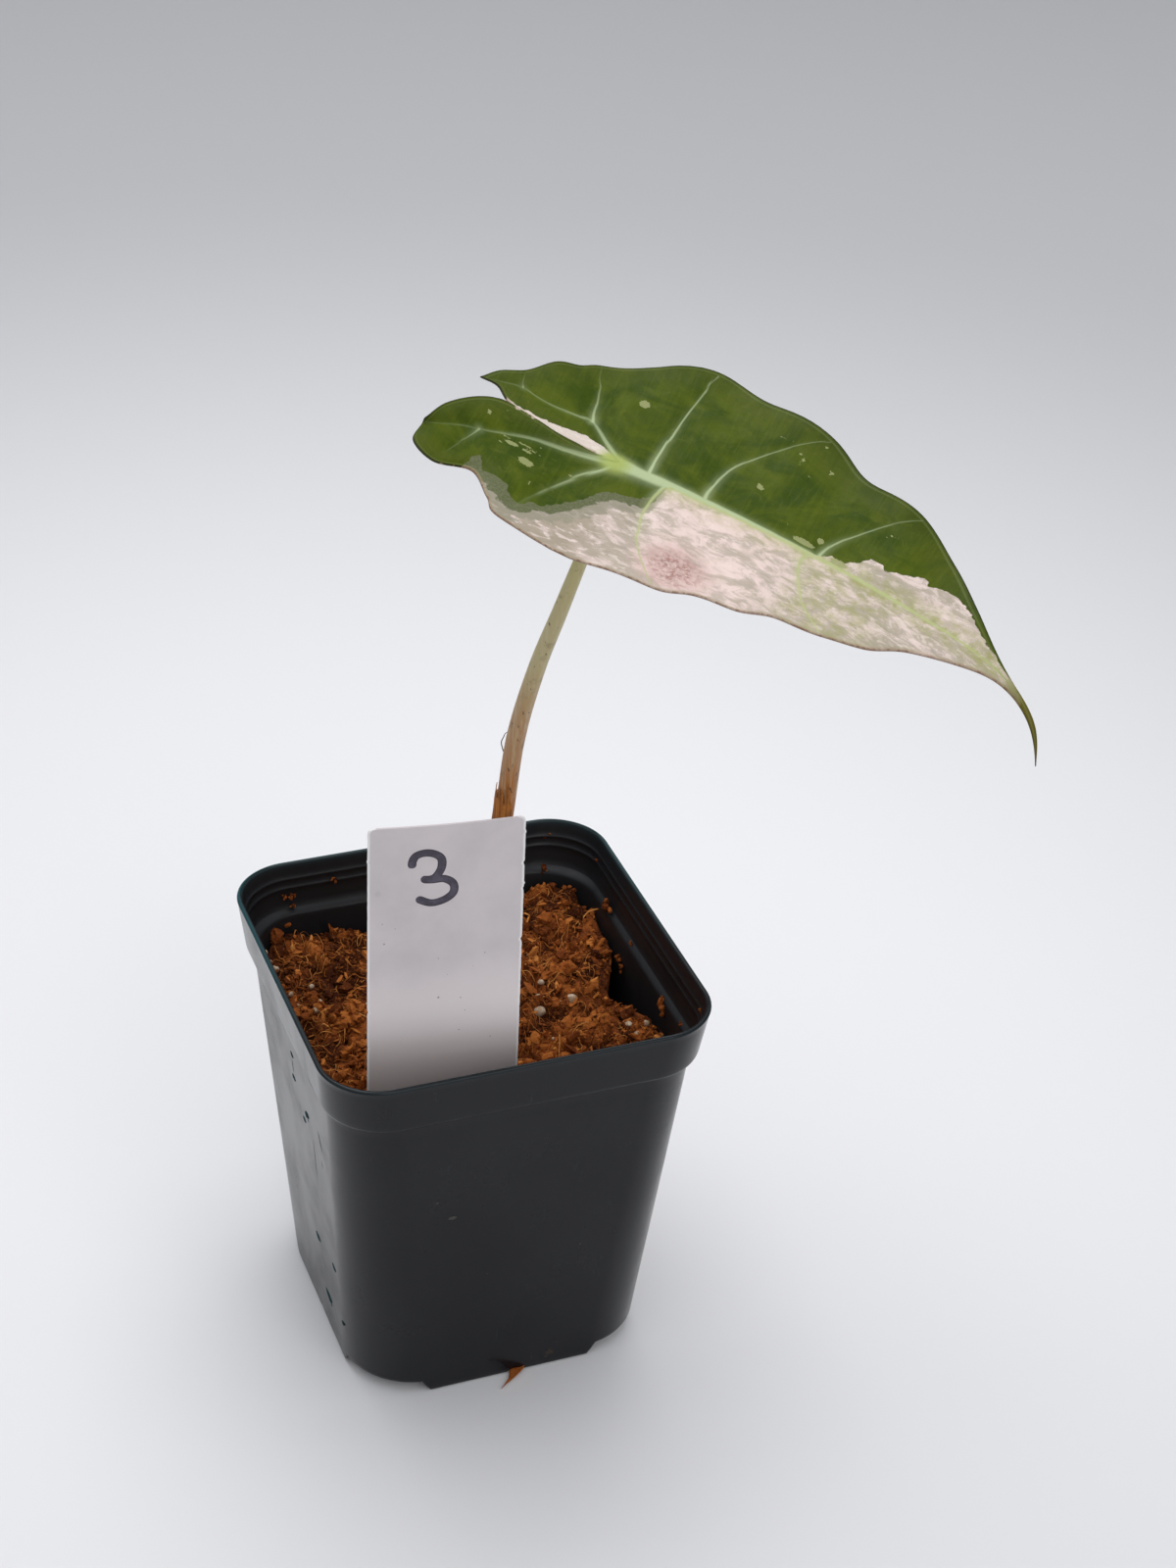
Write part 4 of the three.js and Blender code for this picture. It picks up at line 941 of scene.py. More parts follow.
def blendShare(tree, share, first, second):
    # first where share is 0 and second where it is 1, as numbers
    return addNode(tree, "ShaderNodeMix", {0: share, 2: first, 3: second}, data_type="FLOAT").outputs[0]


def blushAt(tree, place, centre, reach):
    # 1 in the middle of a round patch of the leaf's plan and 0 at its reach
    offset = {0: place, 1: (-centre[0], -centre[1], 0)}
    offset = addNode(tree, "ShaderNodeVectorMath", offset, operation="ADD").outputs[0]
    return between(tree, lengthOf(tree, offset), reach, reach * 0.25)


# Petiole and sheath

petiole = {
    "foot": (6.4, 7.9, 74.4),
    "way": ((0, 74.4), (0.2, 92), (1.9, 110), (4.3, 130), (6.6, 150), (11.1, 168.5), (16.4, 184.5),
            (21.7, 200.5)),
    "radii": ((74.4, 3.0), (82, 2.6), (96, 2.25), (130, 2.1), (150, 2.1), (164, 1.96), (180, 1.76),
              (196, 1.52), (214, 1.5), (223, 1.75)),
    "rings": 220, "sides": 40,
    # colours upwards, each with the heights between which it takes over, then the streaks and spots
    "colours": ((178, 108, 40), (0.132, 0.15, (186, 144, 102)), (0.15, 0.175, (196, 184, 138)),
                (0.18, 0.205, (204, 196, 134))),
    "streak": (210, 196, 160), "stain": (112, 88, 56), "fleck": (84, 56, 36),
}
sheath = {
    "bottom": 82.5, "top": 147.0, "facing": 216.0, "wrap": 230.0, "topWrap": 130.0, "gap": 0.12,
    "thick": 0.16, "rings": 130, "columns": 46, "colours": ((146, 84, 28), (204, 130, 52)),
    "thread": ((8.75, 5.6, 145.0), (8.3, 5.25, 146.4), (8.05, 5.1, 147.8), (8.45, 5.0, 149.0),
               (8.9, 5.0, 149.9), (9.7, 5.0, 150.3)),
    "threadRadii": (0.13, 0.11, 0.06), "threadColours": ((66, 60, 54), (104, 98, 90)),
    "stain": (96, 58, 28),
}


def petiolePath():
    # the petiole's middle line: a smooth curve in the upright plane from the corm to the leaf's joint
    joint = np.array(leaf["joint"])
    top = joint - bladeNormal(np.array([0.0]), np.array([0.0]))[0] * 0.9
    foot = np.array(petiole["foot"])
    reach = (top - foot) * [1, 1, 0]
    reach /= np.linalg.norm(reach)
    points = np.array([foot * [1, 1, 0] + reach * r + [0, 0, z] for r, z in petiole["way"]] + [top])
    return throughPoints(points, np.linspace(0, len(points) - 1, petiole["rings"]))


def makePetiole(finish):
    # a tube along that line, with low ribs along it and a slightly swollen joint under the blade
    path = petiolePath()
    radii = np.interp(path[:, 2], *np.array(petiole["radii"]).T)
    angle = np.linspace(0, 2 * np.pi, petiole["sides"], endpoint=False)
    ribs = 1 + 0.018 * np.sin(7 * angle) * np.ones((len(path), 1))
    ribs = ribs + 0.012 * np.sin(3 * angle + path[:, 2:] / 23)
    points, faces = tube(path, radii, petiole["sides"], ribs)
    putPiece("petiole", points, faces, finish, stands=("petiole",))


def petioleFinish():
    # olive at the top, beige below, brown by the sheath, with fine streaks along it, stains and small flecks
    material, tree, shader = newFinish("petioleSkin", 0.42, IOR=1.45)
    place = objectPlace(tree)
    z = partsOf(tree, place)["Z"]
    streak = noiseOf(tree, stretched(tree, place, (1400, 1400, 60)), 1.0, 4, 0.6)
    stain = noiseOf(tree, place, 240, 4, 0.65)
    flecks = noiseOf(tree, stretched(tree, place, (1, 1, 0.4)), 900, 2)
    lowest, *higher = petiole["colours"]
    colour = layered(tree, lowest, *((between(tree, z, start, end), over) for start, end, over in higher),
                     (between(tree, streak, 0.45, 0.7, 0, 0.55), petiole["streak"]),
                     (between(tree, stain, 0.52, 0.7, 0, 0.5), petiole["stain"]),
                     (between(tree, flecks, 0.68, 0.74, 0, 0.8), petiole["fleck"]))
    feed(tree, shader.inputs["Base Color"], colour)
    raised(tree, shader, (streak, 0.5, 0.12), (noiseOf(tree, place, 700, 3), 0.2, 0.08))
    return material


def makeSheath(finish):
    # a thin dry wrap that follows the petiole, open on one side, torn into points along its top and edges
    path = petiolePath()
    level = np.linspace(0, 1, sheath["rings"])[:, None]
    across = np.linspace(-0.5, 0.5, sheath["columns"])
    grain = np.stack(np.broadcast_arrays(level * 40, across * 30, 0), -1)
    torn = 9 * cloud(np.stack(np.broadcast_arrays(0 * level, across * 26, 0), -1), 2.2, 31, 3)
    low = sheath["bottom"]
    z = low + (sheath["top"] + torn - 8 - 6 * np.abs(across) - low) * level
    middle = np.stack([np.interp(z, path[:, 2], path[:, k]) for k in range(2)], -1)
    wrap = sheath["wrap"] + (sheath["topWrap"] - sheath["wrap"]) * level
    angle = np.radians(sheath["facing"] + across * wrap * (1 + 0.12 * cloud(grain, 5, 37, 2)))
    lift = 0.12 * smooth(0.3, 0.5, np.abs(across)) * (1 + cloud(grain, 3, 41, 3))
    lift = lift + 0.12 * (1 + cloud(grain, 2.4, 43, 3))
    radius = np.interp(z, *np.array(petiole["radii"]).T) * 1.03 + sheath["gap"] + lift * (0.4 + 0.6 * level)
    way = np.dstack([np.cos(angle), np.sin(angle)])
    inner, outer = (np.dstack([middle + way * (radius + out)[..., None], z]).reshape(-1, 3)
                    for out in (0, sheath["thick"]))
    points, faces = closeSheet(outer, inner, gridFaces(sheath["rings"], sheath["columns"]))
    putPiece("basalSheath", points, faces, finish, stands=("basal_sheath",))


def sheathFinish(name, colours):
    # papery brown between two shades, with darker stains and raised fibres along it
    material, tree, shader = newFinish(name, 0.7)
    place = objectPlace(tree)
    fibres = noiseOf(tree, stretched(tree, place, (1600, 1600, 45)), 1.0, 4, 0.65)
    colour = blendColour(tree, between(tree, fibres, 0.35, 0.65), *colours)
    stains = between(tree, noiseOf(tree, place, 300, 3), 0.5, 0.7, 0, 0.5)
    feed(tree, shader.inputs["Base Color"], blendColour(tree, stains, colour, sheath["stain"]))
    raised(tree, shader, (fibres, 0.7, 0.2))
    return material


def makeSheathFibre(finish):
    # a thin curled thread that has come away from the sheath's top edge
    t = np.linspace(0, 1, 70)
    path = throughPoints(sheath["thread"], t * (len(sheath["thread"]) - 1))
    points, faces = tube(path, np.interp(t, (0, 0.6, 1), sheath["threadRadii"]), 7)
    putPiece("sheathFibre", points, faces, finish)


# Corm

corm = {
    # radius and height of its outline, and how far out and how high a root goes
    "profile": ((0.05, 41), (2.2, 41.6), (5.6, 47), (7.8, 56), (7.2, 65), (4.6, 71), (3.4, 74), (2.9, 74.3)),
    "rootTurns": (15, 75, 140, 205, 335), "rootWay": ((4, 52), (11, 47), (17, 38), (21, 26)),
    "rootRadius": 1.1, "colours": ((86, 58, 34), (160, 124, 84)),
}


def makeCorm(finish):
    # a lathed corm with ring scars, and five tapering roots
    x, y = petiole["foot"][:2]
    t = np.linspace(0, len(corm["profile"]) - 1, 70)
    r, z = throughPoints(corm["profile"], t).T
    path = np.column_stack([np.full_like(z, x), np.full_like(z, y), z])
    around = np.linspace(0, 2 * np.pi, 36, endpoint=False)
    scars = 1 + 0.03 * np.sin(z * 2.4)[:, None] + 0.04 * np.sin(5 * around)
    parts = [tube(path, np.maximum(r, 0.05), 36, scars)]
    for k, degrees in enumerate(corm["rootTurns"]):
        turn = math.radians(degrees)
        way = np.array([(x + out * math.cos(turn), y + out * math.sin(turn), up - i * k)
                        for i, (out, up) in enumerate(corm["rootWay"])])
        line = throughPoints(way, np.linspace(0, 3, 40))
        parts.append(tube(line, corm["rootRadius"] * np.linspace(1, 0.55, 40), 10))
    points, faces = joinParts(parts)
    putPiece("cormAndRoots", points, faces, finish, stands=("corm",))


def cormFinish():
    # two browns in rings
    material, tree, shader = newFinish("cormSkin", 0.8)
    rings = noiseOf(tree, stretched(tree, objectPlace(tree), (60, 60, 900)), 1.0, 3)
    colour = blendColour(tree, between(tree, rings, 0.35, 0.65), *corm["colours"])
    feed(tree, shader.inputs["Base Color"], colour)
    raised(tree, shader, (rings, 0.5, 0.3))
    return material


# Potting mix

mix = {
    # the shrinkage from the +X wall: its middle, width and spread along y, and the height where it starts
    "level": 79.8, "floor": 6, "edge": 74.5, "gap": 0.35, "shrink": (-4, 7.5, 10, 52),
    # heaps and hollows: (x, y, rise, spread)
    "swells": ((9, -19, -4.5, 6), (-34, 42, 4, 11), (-13, 42, -2.5, 6), (32, 42, 2.2, 6),
               (38, 36, 3.6, 6.5)),
    "rimFall": 1.0, "step": 0.5, "crumbs": 3800, "fines": 7500, "fibres": 2200, "chips": 420, "grit": 24,
    # beads of perlite: (x, y, radius)
    "perlite": ((19.1, 3.8, 0.65), (17.4, 1.1, 0.65), (15.4, -5.1, 1.2), (23.4, -4.8, 0.95),
                (29.1, -9.0, 0.7), (32.3, -17.6, 0.65), (36.6, -18.3, 0.55), (32.7, -22.1, 0.55),
                (-38.6, 34.0, 0.6), (-37.9, 32.2, 0.6), (-36.9, 30.3, 0.7), (-36.9, 17.1, 0.45),
                (-35.8, 15.3, 0.45), (-30.9, 20.9, 0.55), (-30.7, 14.5, 0.55), (-32.5, 11.3, 0.6),
                (-12, 31, 0.6), (3, -30, 0.7)),
    "paleRoot": ((36.6, 23.0, 83.0), (38.1, 23.8, 83.7), (40.2, 24.1, 83.9), (42.0, 24.6, 83.2)),
    # crumbs that stick to the inside of the pot, on the wall or its ledge: (x, y, z, size)
    "stuck": ((34.9, 43.2, 94.5, 0.5), (41.4, 42.2, 90.4, 0.45), (35.9, 42.6, 90.1, 0.4),
              (33.6, 42.0, 85.6, 0.7), (40.1, 41.3, 85.9, 0.6), (39.6, 40.4, 83.4, 1.2),
              (-19.1, 42.9, 92.7, 0.5), (-30.2, 42.5, 90.1, 0.5), (-29.0, 42.6, 90.2, 0.4),
              (-31.4, 42.4, 90.1, 0.45), (-29.8, 42.1, 87.5, 0.45), (-31.3, 40.5, 83.3, 0.5),
              (43.0, 32.3, 92.6, 0.45), (41.8, 21.4, 86.9, 1.0), (41.5, 20.2, 87.3, 1.1),
              (40.4, 8.8, 80, 0.8), (40.2, 6.0, 79.4, 0.7), (42.0, 5.0, 86.5, 0.4),
              (40.8, -16.8, 84.7, 0.9), (40.6, -18.0, 83.4, 0.7), (43.0, -34.0, 94.0, 0.4),
              (42.0, -26.0, 85.9, 0.8), (33.1, 40.6, 86.2, 0.6), (36.4, 40.3, 84.3, 0.7),
              (38.8, 39.9, 84.4, 0.8), (39.6, 38.9, 83.2, 0.9), (37.8, 40.9, 86.6, 0.6),
              (41.6, 39.4, 86.6, 0.6)),
    # shades of coir from the darkest tint to the palest, and what the grain adds
    "shades": ((0.0, (62, 27, 10)), (0.25, (112, 56, 22)), (0.5, (158, 88, 38)), (0.78, (188, 114, 52)),
               (1.0, (218, 150, 80))),
    "grain": ((178, 106, 48), (60, 28, 11)), "perliteColours": ((158, 130, 102), (202, 184, 160)),
}


def mixDrawn(y):
    # how far the mix has shrunk from the +X wall at each y: a bell curve, ragged by noise
    y0, width, spread, _ = mix["shrink"]
    share = np.exp(-((y - y0) / spread) ** 2)
    return share * (width + 2.4 * cloud(np.stack([y, 0 * y, 0 * y], -1), 4.0, 93, 3, 0.6))


def mixOutline(xy):
    # how far inside the mix's outline a place is: the wall less the gap, drawn in where the mix has shrunk
    half = wallAt(mix["level"]) - pot["wall"] - mix["gap"]
    corner = cornerAt(mix["level"]) - pot["wall"] - mix["gap"]
    q = np.abs(xy) - (half - corner)
    square = corner - np.linalg.norm(np.maximum(q, 0), axis=-1) - np.minimum(np.max(q, axis=-1), 0)
    return np.minimum(square, half - mixDrawn(xy[..., 1]) - xy[..., 0])


def mixHeight(x, y):
    # broad lumps as waves, with the listed swells and hollows added as bell curves
    lumps = (1.1 * np.sin(0.23 * x + 1.1) * np.sin(0.27 * y + 0.4)
             + 0.7 * np.sin(0.51 * x + 0.7 * np.sin(0.3 * y)) * np.cos(0.47 * y + 0.3)
             + 0.45 * np.sin(0.93 * x - 0.4 * y) * np.sin(0.81 * y + 0.35 * x))
    height = mix["level"] + 0.04 * x + 0.02 * y + lumps
    for cx, cy, rise, spread in mix["swells"]:
        height = height + rise * np.exp(-((x - cx) ** 2 + (y - cy) ** 2) / spread ** 2)
    return height


def mixRelief(xy):
    # clods of about 5 mm and crumbs of about 2 mm, with pits between them
    p = np.stack([xy[..., 0], xy[..., 1], 0 * xy[..., 0]], -1)
    clods = cloud(p, 6.5, 51, 2)
    crumbs = cloud(p, 2.8, 57, 3, 0.6)
    cracks = np.exp(-(cloud(p, 5.0, 63, 2) / 0.16) ** 2)
    return 1.1 * clods + 1.0 * crumbs - 1.5 * cracks - 1.4 * np.maximum(-clods - 0.25, 0)


def labelGap(xy):
    # distance from the label's plane patch, to keep the mix off it
    turn = math.radians(label["turn"])
    x, y = xy[..., 0] - label["middle"][0], xy[..., 1] - label["middle"][1]
    beyond = np.maximum(np.abs(x * math.cos(turn) + y * math.sin(turn)) - label["width"] / 2, 0)
    return np.hypot(beyond, -x * math.sin(turn) + y * math.cos(turn))


def stemGap(xy):
    # distance from the middle of the petiole's foot
    return np.hypot(xy[..., 0] - petiole["foot"][0], xy[..., 1] - petiole["foot"][1])


def groundAt(xy):
    # the top of the mix with all its relief, falling away at its rim
    inside = mixOutline(xy)
    rough = mixHeight(xy[..., 0], xy[..., 1]) + mixRelief(xy) - mix["rimFall"] * smooth(2.4, -0.6, inside)
    rough = rough - 1.2 * smooth(5.5, 3.0, stemGap(xy)) - 0.6 * smooth(1.6, 0.4, labelGap(xy))
    return np.maximum(rough, mix["edge"])


def makeMixBed(finish):
    # rings of the mix's outline, from its floor up the wall and in over the top to the middle
    half, corner = (size(mix["level"]) - pot["wall"] - mix["gap"] for size in (wallAt, cornerAt))
    rows = []
    for z in np.linspace(mix["floor"], mix["edge"] - 1, 40):
        inner = wallAt(z) - pot["wall"] - mix["gap"]
        ring = squareAt(inner, cornerAt(z) - pot["wall"] - mix["gap"])[0]
        drawn = mixDrawn(ring[:, 1]) * smooth(mix["shrink"][3], mix["level"], z)
        ring[:, 0] = np.minimum(ring[:, 0], inner - drawn)
        level = np.full(len(ring), z)
        lump = 0.35 * (cloud(np.column_stack([ring, level]), 3.5, 61, 2) - 1)
        rows.append(np.column_stack([ring * (1 + lump / inner)[:, None], level]))
    ring = squareAt(half, corner)[0]
    for share in np.concatenate([[0.995, 0.985], np.arange(0.97, 0.01, -mix["step"] / half), [0.004]]):
        xy = ring * share
        xy[:, 0] = np.minimum(xy[:, 0], (half - mixDrawn(xy[:, 1])) * (0.5 + share / 2))
        rows.append(np.column_stack([xy, groundAt(xy)]))
    grid = np.array(rows)
    sides = grid.shape[1]
    points = np.vstack([grid.reshape(-1, 3), grid[0].mean(0), grid[-1].mean(0)])
    i = np.arange(sides)
    low, high = len(points) - 2, len(points) - 1
    top = (len(grid) - 1) * sides
    caps = [np.column_stack([np.full(sides, low), (i + 1) % sides, i, i]),
            np.column_stack([np.full(sides, high), top + i, top + (i + 1) % sides, top + (i + 1) % sides])]
    faces = np.vstack([gridFaces(len(grid), sides, ring=True), *caps])
    # painted shade: the tint is darker where the relief is low, in the cracks, and lighter on the clods
    tint = np.clip(0.3 + 0.28 * mixRelief(points[:, :2]) + 0.25 * cloud(points, 5, 87, 3), 0, 1)
    putPiece("mixBed", points, faces, finish, {"tint": tint}, stands=("potting_mix",))


def pebble(detail):
    # a small ball of triangles: an icosahedron, with each face split once for each detail
    g = (1 + 5 ** 0.5) / 2
    points = np.array([(-1, g, 0), (1, g, 0), (-1, -g, 0), (1, -g, 0), (0, -1, g), (0, 1, g), (0, -1, -g),
                       (0, 1, -g), (g, 0, -1), (g, 0, 1), (-g, 0, -1), (-g, 0, 1)]) / math.sqrt(1 + g * g)
    faces = np.array([(0, 11, 5), (0, 5, 1), (0, 1, 7), (0, 7, 10), (0, 10, 11), (1, 5, 9), (5, 11, 4),
                      (11, 10, 2), (10, 7, 6), (7, 1, 8), (3, 9, 4), (3, 4, 2), (3, 2, 6), (3, 6, 8),
                      (3, 8, 9), (4, 9, 5), (2, 4, 11), (6, 2, 10), (8, 6, 7), (9, 8, 1)])
    for _ in range(detail):
        a, b, c = (points[faces[:, k]] for k in range(3))
        mids = np.vstack([a + b, b + c, c + a])
        mids /= np.linalg.norm(mids, axis=1)[:, None]
        ab, bc, ca = len(points) + np.arange(3 * len(faces)).reshape(3, -1)
        split = (faces[:, 0], ab, ca), (ab, faces[:, 1], bc), (ca, bc, faces[:, 2]), (ab, bc, ca)
        faces = np.vstack([np.column_stack(corners) for corners in split])
        points = np.vstack([points, mids])
        _, kept, same = np.unique(points.round(5), axis=0, return_index=True, return_inverse=True)
        points, faces = points[kept], same.reshape(-1)[faces]
    return points, faces


def nugget():
    # a small ball of 48 triangles: four rings of six points, closed by a point at each end
    level = np.array([-0.82, -0.3, 0.3, 0.82])
    points, faces = tube(level[:, None] * [0, 0, 1], np.sqrt(1 - level ** 2), 6)
    points[-2:, 2] = -1, 1
    return points, faces


def spins(random, count):
    # random rotations as matrices, from random unit quaternions
    q = random.normal(size=(count, 4))
    w, x, y, z = (q / np.linalg.norm(q, axis=1)[:, None]).T
    rows = [1 - 2 * (y * y + z * z), 2 * (x * y - z * w), 2 * (x * z + y * w),
            2 * (x * y + z * w), 1 - 2 * (x * x + z * z), 2 * (y * z - x * w),
            2 * (x * z - y * w), 2 * (y * z + x * w), 1 - 2 * (x * x + y * y)]
    return np.stack(rows, -1).reshape(-1, 3, 3)


def copiesOf(faces, count, each):
    # the faces of one grain, numbered on for every copy of its points
    return (faces[None] + (np.arange(count) * each)[:, None, None]).reshape(-1, faces.shape[1])


def grainsOf(random, centres, sizes, ball, stretch, rough, seed):
    # copies of the ball at the centres, each stretched, roughened by noise and turned its own way
    points, faces = ball
    count = len(centres)
    shape = points[None] * (1 + random.uniform(-stretch, stretch, (count, 1, 3)))
    lumps = 1 + rough * cloud(points[None] * 1.3 + np.arange(count)[:, None, None] * 7.7, 1.0, seed, 2)
    shape = np.einsum("nij,nkj->nki", spins(random, count), shape * lumps[..., None] * sizes[:, None, None])
    return (shape + centres[:, None]).reshape(-1, 3), copiesOf(faces, count, len(points)), len(points)


def placesOnMix(random, count, margin):
    # random places on the mix that keep clear of the petiole and the label
    half = wallAt(mix["level"])
    xy = random.uniform(-half, half, (count * 3, 2))
    good = (mixOutline(xy) > margin) & (stemGap(xy) > 4.2) & (labelGap(xy) > 1.6)
    return xy[good][:count]


def crumbTintAndShade(random, xy):
    # painted shade: darker in the cracks, lighter on the clods, with broad patches and a draw per crumb
    broad = cloud(np.column_stack([xy, np.zeros(len(xy))]), 9, 67, 2)
    return np.clip(0.34 + 0.18 * mixRelief(xy) + 0.3 * broad + random.normal(0, 0.2, len(xy)), 0, 1)


def makeCrumbs(finish):
    # coir crumbs heaped over the bed, many small and few large, fewer where the bed has cracks
    random = np.random.default_rng(11)
    xy = placesOnMix(random, mix["crumbs"], 0.3)
    xy = xy[random.random(len(xy)) < np.clip(0.75 + 0.5 * mixRelief(xy), 0.12, 1)]
    sizes = 0.3 + 0.95 * random.random(len(xy)) ** 2.5
    z = groundAt(xy) + sizes * random.uniform(-0.1, 0.8, len(xy))
    points, faces, each = grainsOf(random, np.column_stack([xy, z]), sizes, nugget(), 0.75, 0.9, 71)
    tint = np.repeat(crumbTintAndShade(random, xy), each)
    putPiece("coirCrumbs", points, faces, finish, {"tint": tint}, flat=True)


def makeFines(finish):
    # fine crumbs of few faces, thick on the ground right up to the wall
    random = np.random.default_rng(13)
    xy = placesOnMix(random, mix["fines"], 0.0)
    sizes = 0.16 + 0.34 * random.random(len(xy)) ** 2
    z = groundAt(xy) + sizes * random.uniform(-0.2, 1.2, len(xy))
    points, faces, each = grainsOf(random, np.column_stack([xy, z]), sizes, pebble(0), 0.6, 0.5, 77)
    tint = np.repeat(crumbTintAndShade(random, xy), each)
    putPiece("coirFines", points, faces, finish, {"tint": tint}, flat=True)


def makeChips(finish):
    # flat bits of husk, a few millimetres long, lying at all angles
    random = np.random.default_rng(37)
    xy = placesOnMix(random, mix["chips"], 1.8)
    points, faces = nugget()
    count = len(xy)
    sizes = ((0.7, 1.6), (0.3, 0.65), (0.13, 0.22))  # half the length, width and thickness
    squash = np.column_stack([random.uniform(least, most, count) for least, most in sizes])
    lumps = 1 + 0.5 * cloud(points[None] * 1.2 + np.arange(count)[:, None, None] * 5.3, 1.0, 89, 2)
    shape = points[None] * lumps[..., None] * squash[:, None]
    angle, tilt = random.uniform(0, 2 * np.pi, count), random.normal(0, 0.45, count)
    c, s = np.cos(angle)[:, None], np.sin(angle)[:, None]
    x, y, z = shape[..., 0], shape[..., 1], shape[..., 2] + shape[..., 0] * tilt[:, None]
    centre = np.column_stack([xy, groundAt(xy) + 0.35 + 0.5 * np.abs(tilt)])
    shape = np.stack([c * x - s * y, s * x + c * y, z], -1) + centre[:, None]
    tint = np.repeat(np.clip(random.normal(0.5, 0.2, count), 0, 1), len(points))
    putPiece("huskChips", shape.reshape(-1, 3), copiesOf(faces, count, len(points)), finish,
             {"tint": tint}, flat=True)


def makeStuckCrumbs(finish):
    # a clump of four crumbs stuck to the wall at each listed place
    random = np.random.default_rng(23)
    copies = np.repeat(np.array(mix["stuck"]), 4, axis=0)
    jitter = random.normal(size=(len(copies), 3)) * copies[:, 3:] * 0.7
    jitter[:, :2] *= np.where(np.abs(copies[:, :2]) > 39, 0.35, 1.0)
    copies[:, :2] *= 0.992
    sizes = copies[:, 3] * random.uniform(0.5, 1.0, len(copies))
    points, faces, each = grainsOf(random, copies[:, :3] + jitter, sizes, nugget(), 0.4, 0.7, 73)
    tint = np.repeat(0.55 * random.random(len(copies)), each)
    putPiece("wallCrumbs", points, faces, finish, {"tint": tint}, flat=True)


def strands(random, starts, lengths, radii, steps, lie):
    # thin curved threads of three sides: each walks along a heading that turns steadily, near the ground
    count = len(starts)
    heading = random.uniform(0, 2 * np.pi, count)
    turn = random.normal(0, 1.6, count)
    climb = random.normal(0, lie, count)
    t = np.linspace(0, 1, steps)
    angle = heading[:, None] + turn[:, None] * t
    step = lengths[:, None] / (steps - 1)
    flat = np.stack([np.cos(angle), np.sin(angle)], -1) * step[..., None]
    xy = starts[:, None] + np.cumsum(flat, 1) - flat[:, :1]
    arch = np.sin(np.pi * t * random.uniform(0.5, 1, (count, 1)))
    path = np.dstack([xy, groundAt(xy) + 0.25 + np.abs(climb)[:, None] * lengths[:, None] * arch])
    side = np.stack([-np.sin(angle), np.cos(angle), 0 * angle], -1)
    around = np.linspace(0, 2 * np.pi, 3, endpoint=False)
    taper = (radii[:, None] * np.sqrt(np.clip(1 - (2 * t - 1) ** 2, 0.08, 1)))[..., None]
    rings = (path[:, :, None] + side[:, :, None] * (taper * np.cos(around))[..., None]
             + np.array([0.0, 0, 1]) * (taper * np.sin(around))[..., None])
    last = (steps - 1) * 3
    one = np.vstack([gridFaces(steps, 3, ring=True), [[0, 2, 1, 1], [last, last + 1, last + 2, last + 2]]])
    return rings.reshape(-1, 3), copiesOf(one, count, steps * 3), steps * 3


def makeFibres(finish):
    # coir fibres lying in and over the crumbs, less those that would stick out of the mix
    random = np.random.default_rng(29)
    xy = placesOnMix(random, mix["fibres"], 2.0)
    lengths = 1.5 + 6 * random.random(len(xy)) ** 2.2
    radii = 0.06 + 0.11 * random.random(len(xy)) ** 2
    points, faces, each = strands(random, xy, lengths, radii, 9, 0.16)
    whole = (mixOutline(points[:, :2]) > 0.1).reshape(-1, each).all(1)
    points = points.reshape(-1, each, 3)[whole].reshape(-1, 3)
    faces = faces[:whole.sum() * (len(faces) // len(whole))]
    tint = np.repeat(np.clip(random.normal(0.7, 0.25, int(whole.sum())), 0, 1), each)
    # one pale root lies over the rim of the mix
    root, rootFaces = tube(throughPoints(mix["paleRoot"], np.linspace(0, 3, 30)), 0.17, 6)
    points, faces = joinParts([(points, faces), (root, rootFaces)])
    tint = np.concatenate([tint, np.full(len(root), 1.0)])
    putPiece("coirFibres", points, faces, finish, {"tint": tint})


def makePerlite(finish):
    # white beads of expanded perlite at the listed places, with fine grit of the same kind round them
    random = np.random.default_rng(31)
    places = np.array(mix["perlite"], float)
    grit = placesOnMix(random, mix["grit"], 1.5)
    xy = np.vstack([places[:, :2], grit])
    sizes = np.concatenate([1.2 * places[:, 2], 0.2 + 0.25 * random.random(len(grit)) ** 2])
    z = groundAt(xy) + np.repeat([0.55, 0.3], [len(places), len(grit)])
    points, faces, _ = grainsOf(random, np.column_stack([xy, z]), sizes, pebble(2), 0.2, 0.28, 79)
    putPiece("perliteBeads", points, faces, finish)


def coirFinish():
    # fibrous brown, near black to straw by each grain's tint (painted shade on bed and crumbs) and by noise
    material, tree, shader = newFinish("coir", 0.92, Specular_IOR_Level=0.12)
    place = objectPlace(tree)
    shades = addNode(tree, "ShaderNodeValToRGB", {"Fac": readValue(tree, "tint")})
    stops = shades.color_ramp.elements
    first, *middle, last = mix["shades"]
    for stop, (position, colour) in zip(stops, (first, last)):
        stop.position, stop.color = position, shade(*colour)
    for position, colour in middle:
        stops.new(position).color = shade(*colour)
    grain = noiseOf(tree, place, 1500, 4, 0.7)
    light, dark = mix["grain"]
    colour = layered(tree, shades.outputs["Color"], (between(tree, grain, 0.52, 0.72, 0, 0.6), light),
                     (between(tree, grain, 0.46, 0.3, 0, 0.6), dark))
    feed(tree, shader.inputs["Base Color"], colour)
    raised(tree, shader, (noiseOf(tree, place, 1100, 4, 0.7), 0.9, 0.35))
    return material


def perliteFinish():
    # off-white with stained pits
    material, tree, shader = newFinish("perlite", 0.75)
    grain = noiseOf(tree, objectPlace(tree), 900, 4, 0.6)
    colour = blendColour(tree, between(tree, grain, 0.4, 0.65), *mix["perliteColours"])
    feed(tree, shader.inputs["Base Color"], colour)
    raised(tree, shader, (grain, 0.5, 0.2))
    return material


# Label

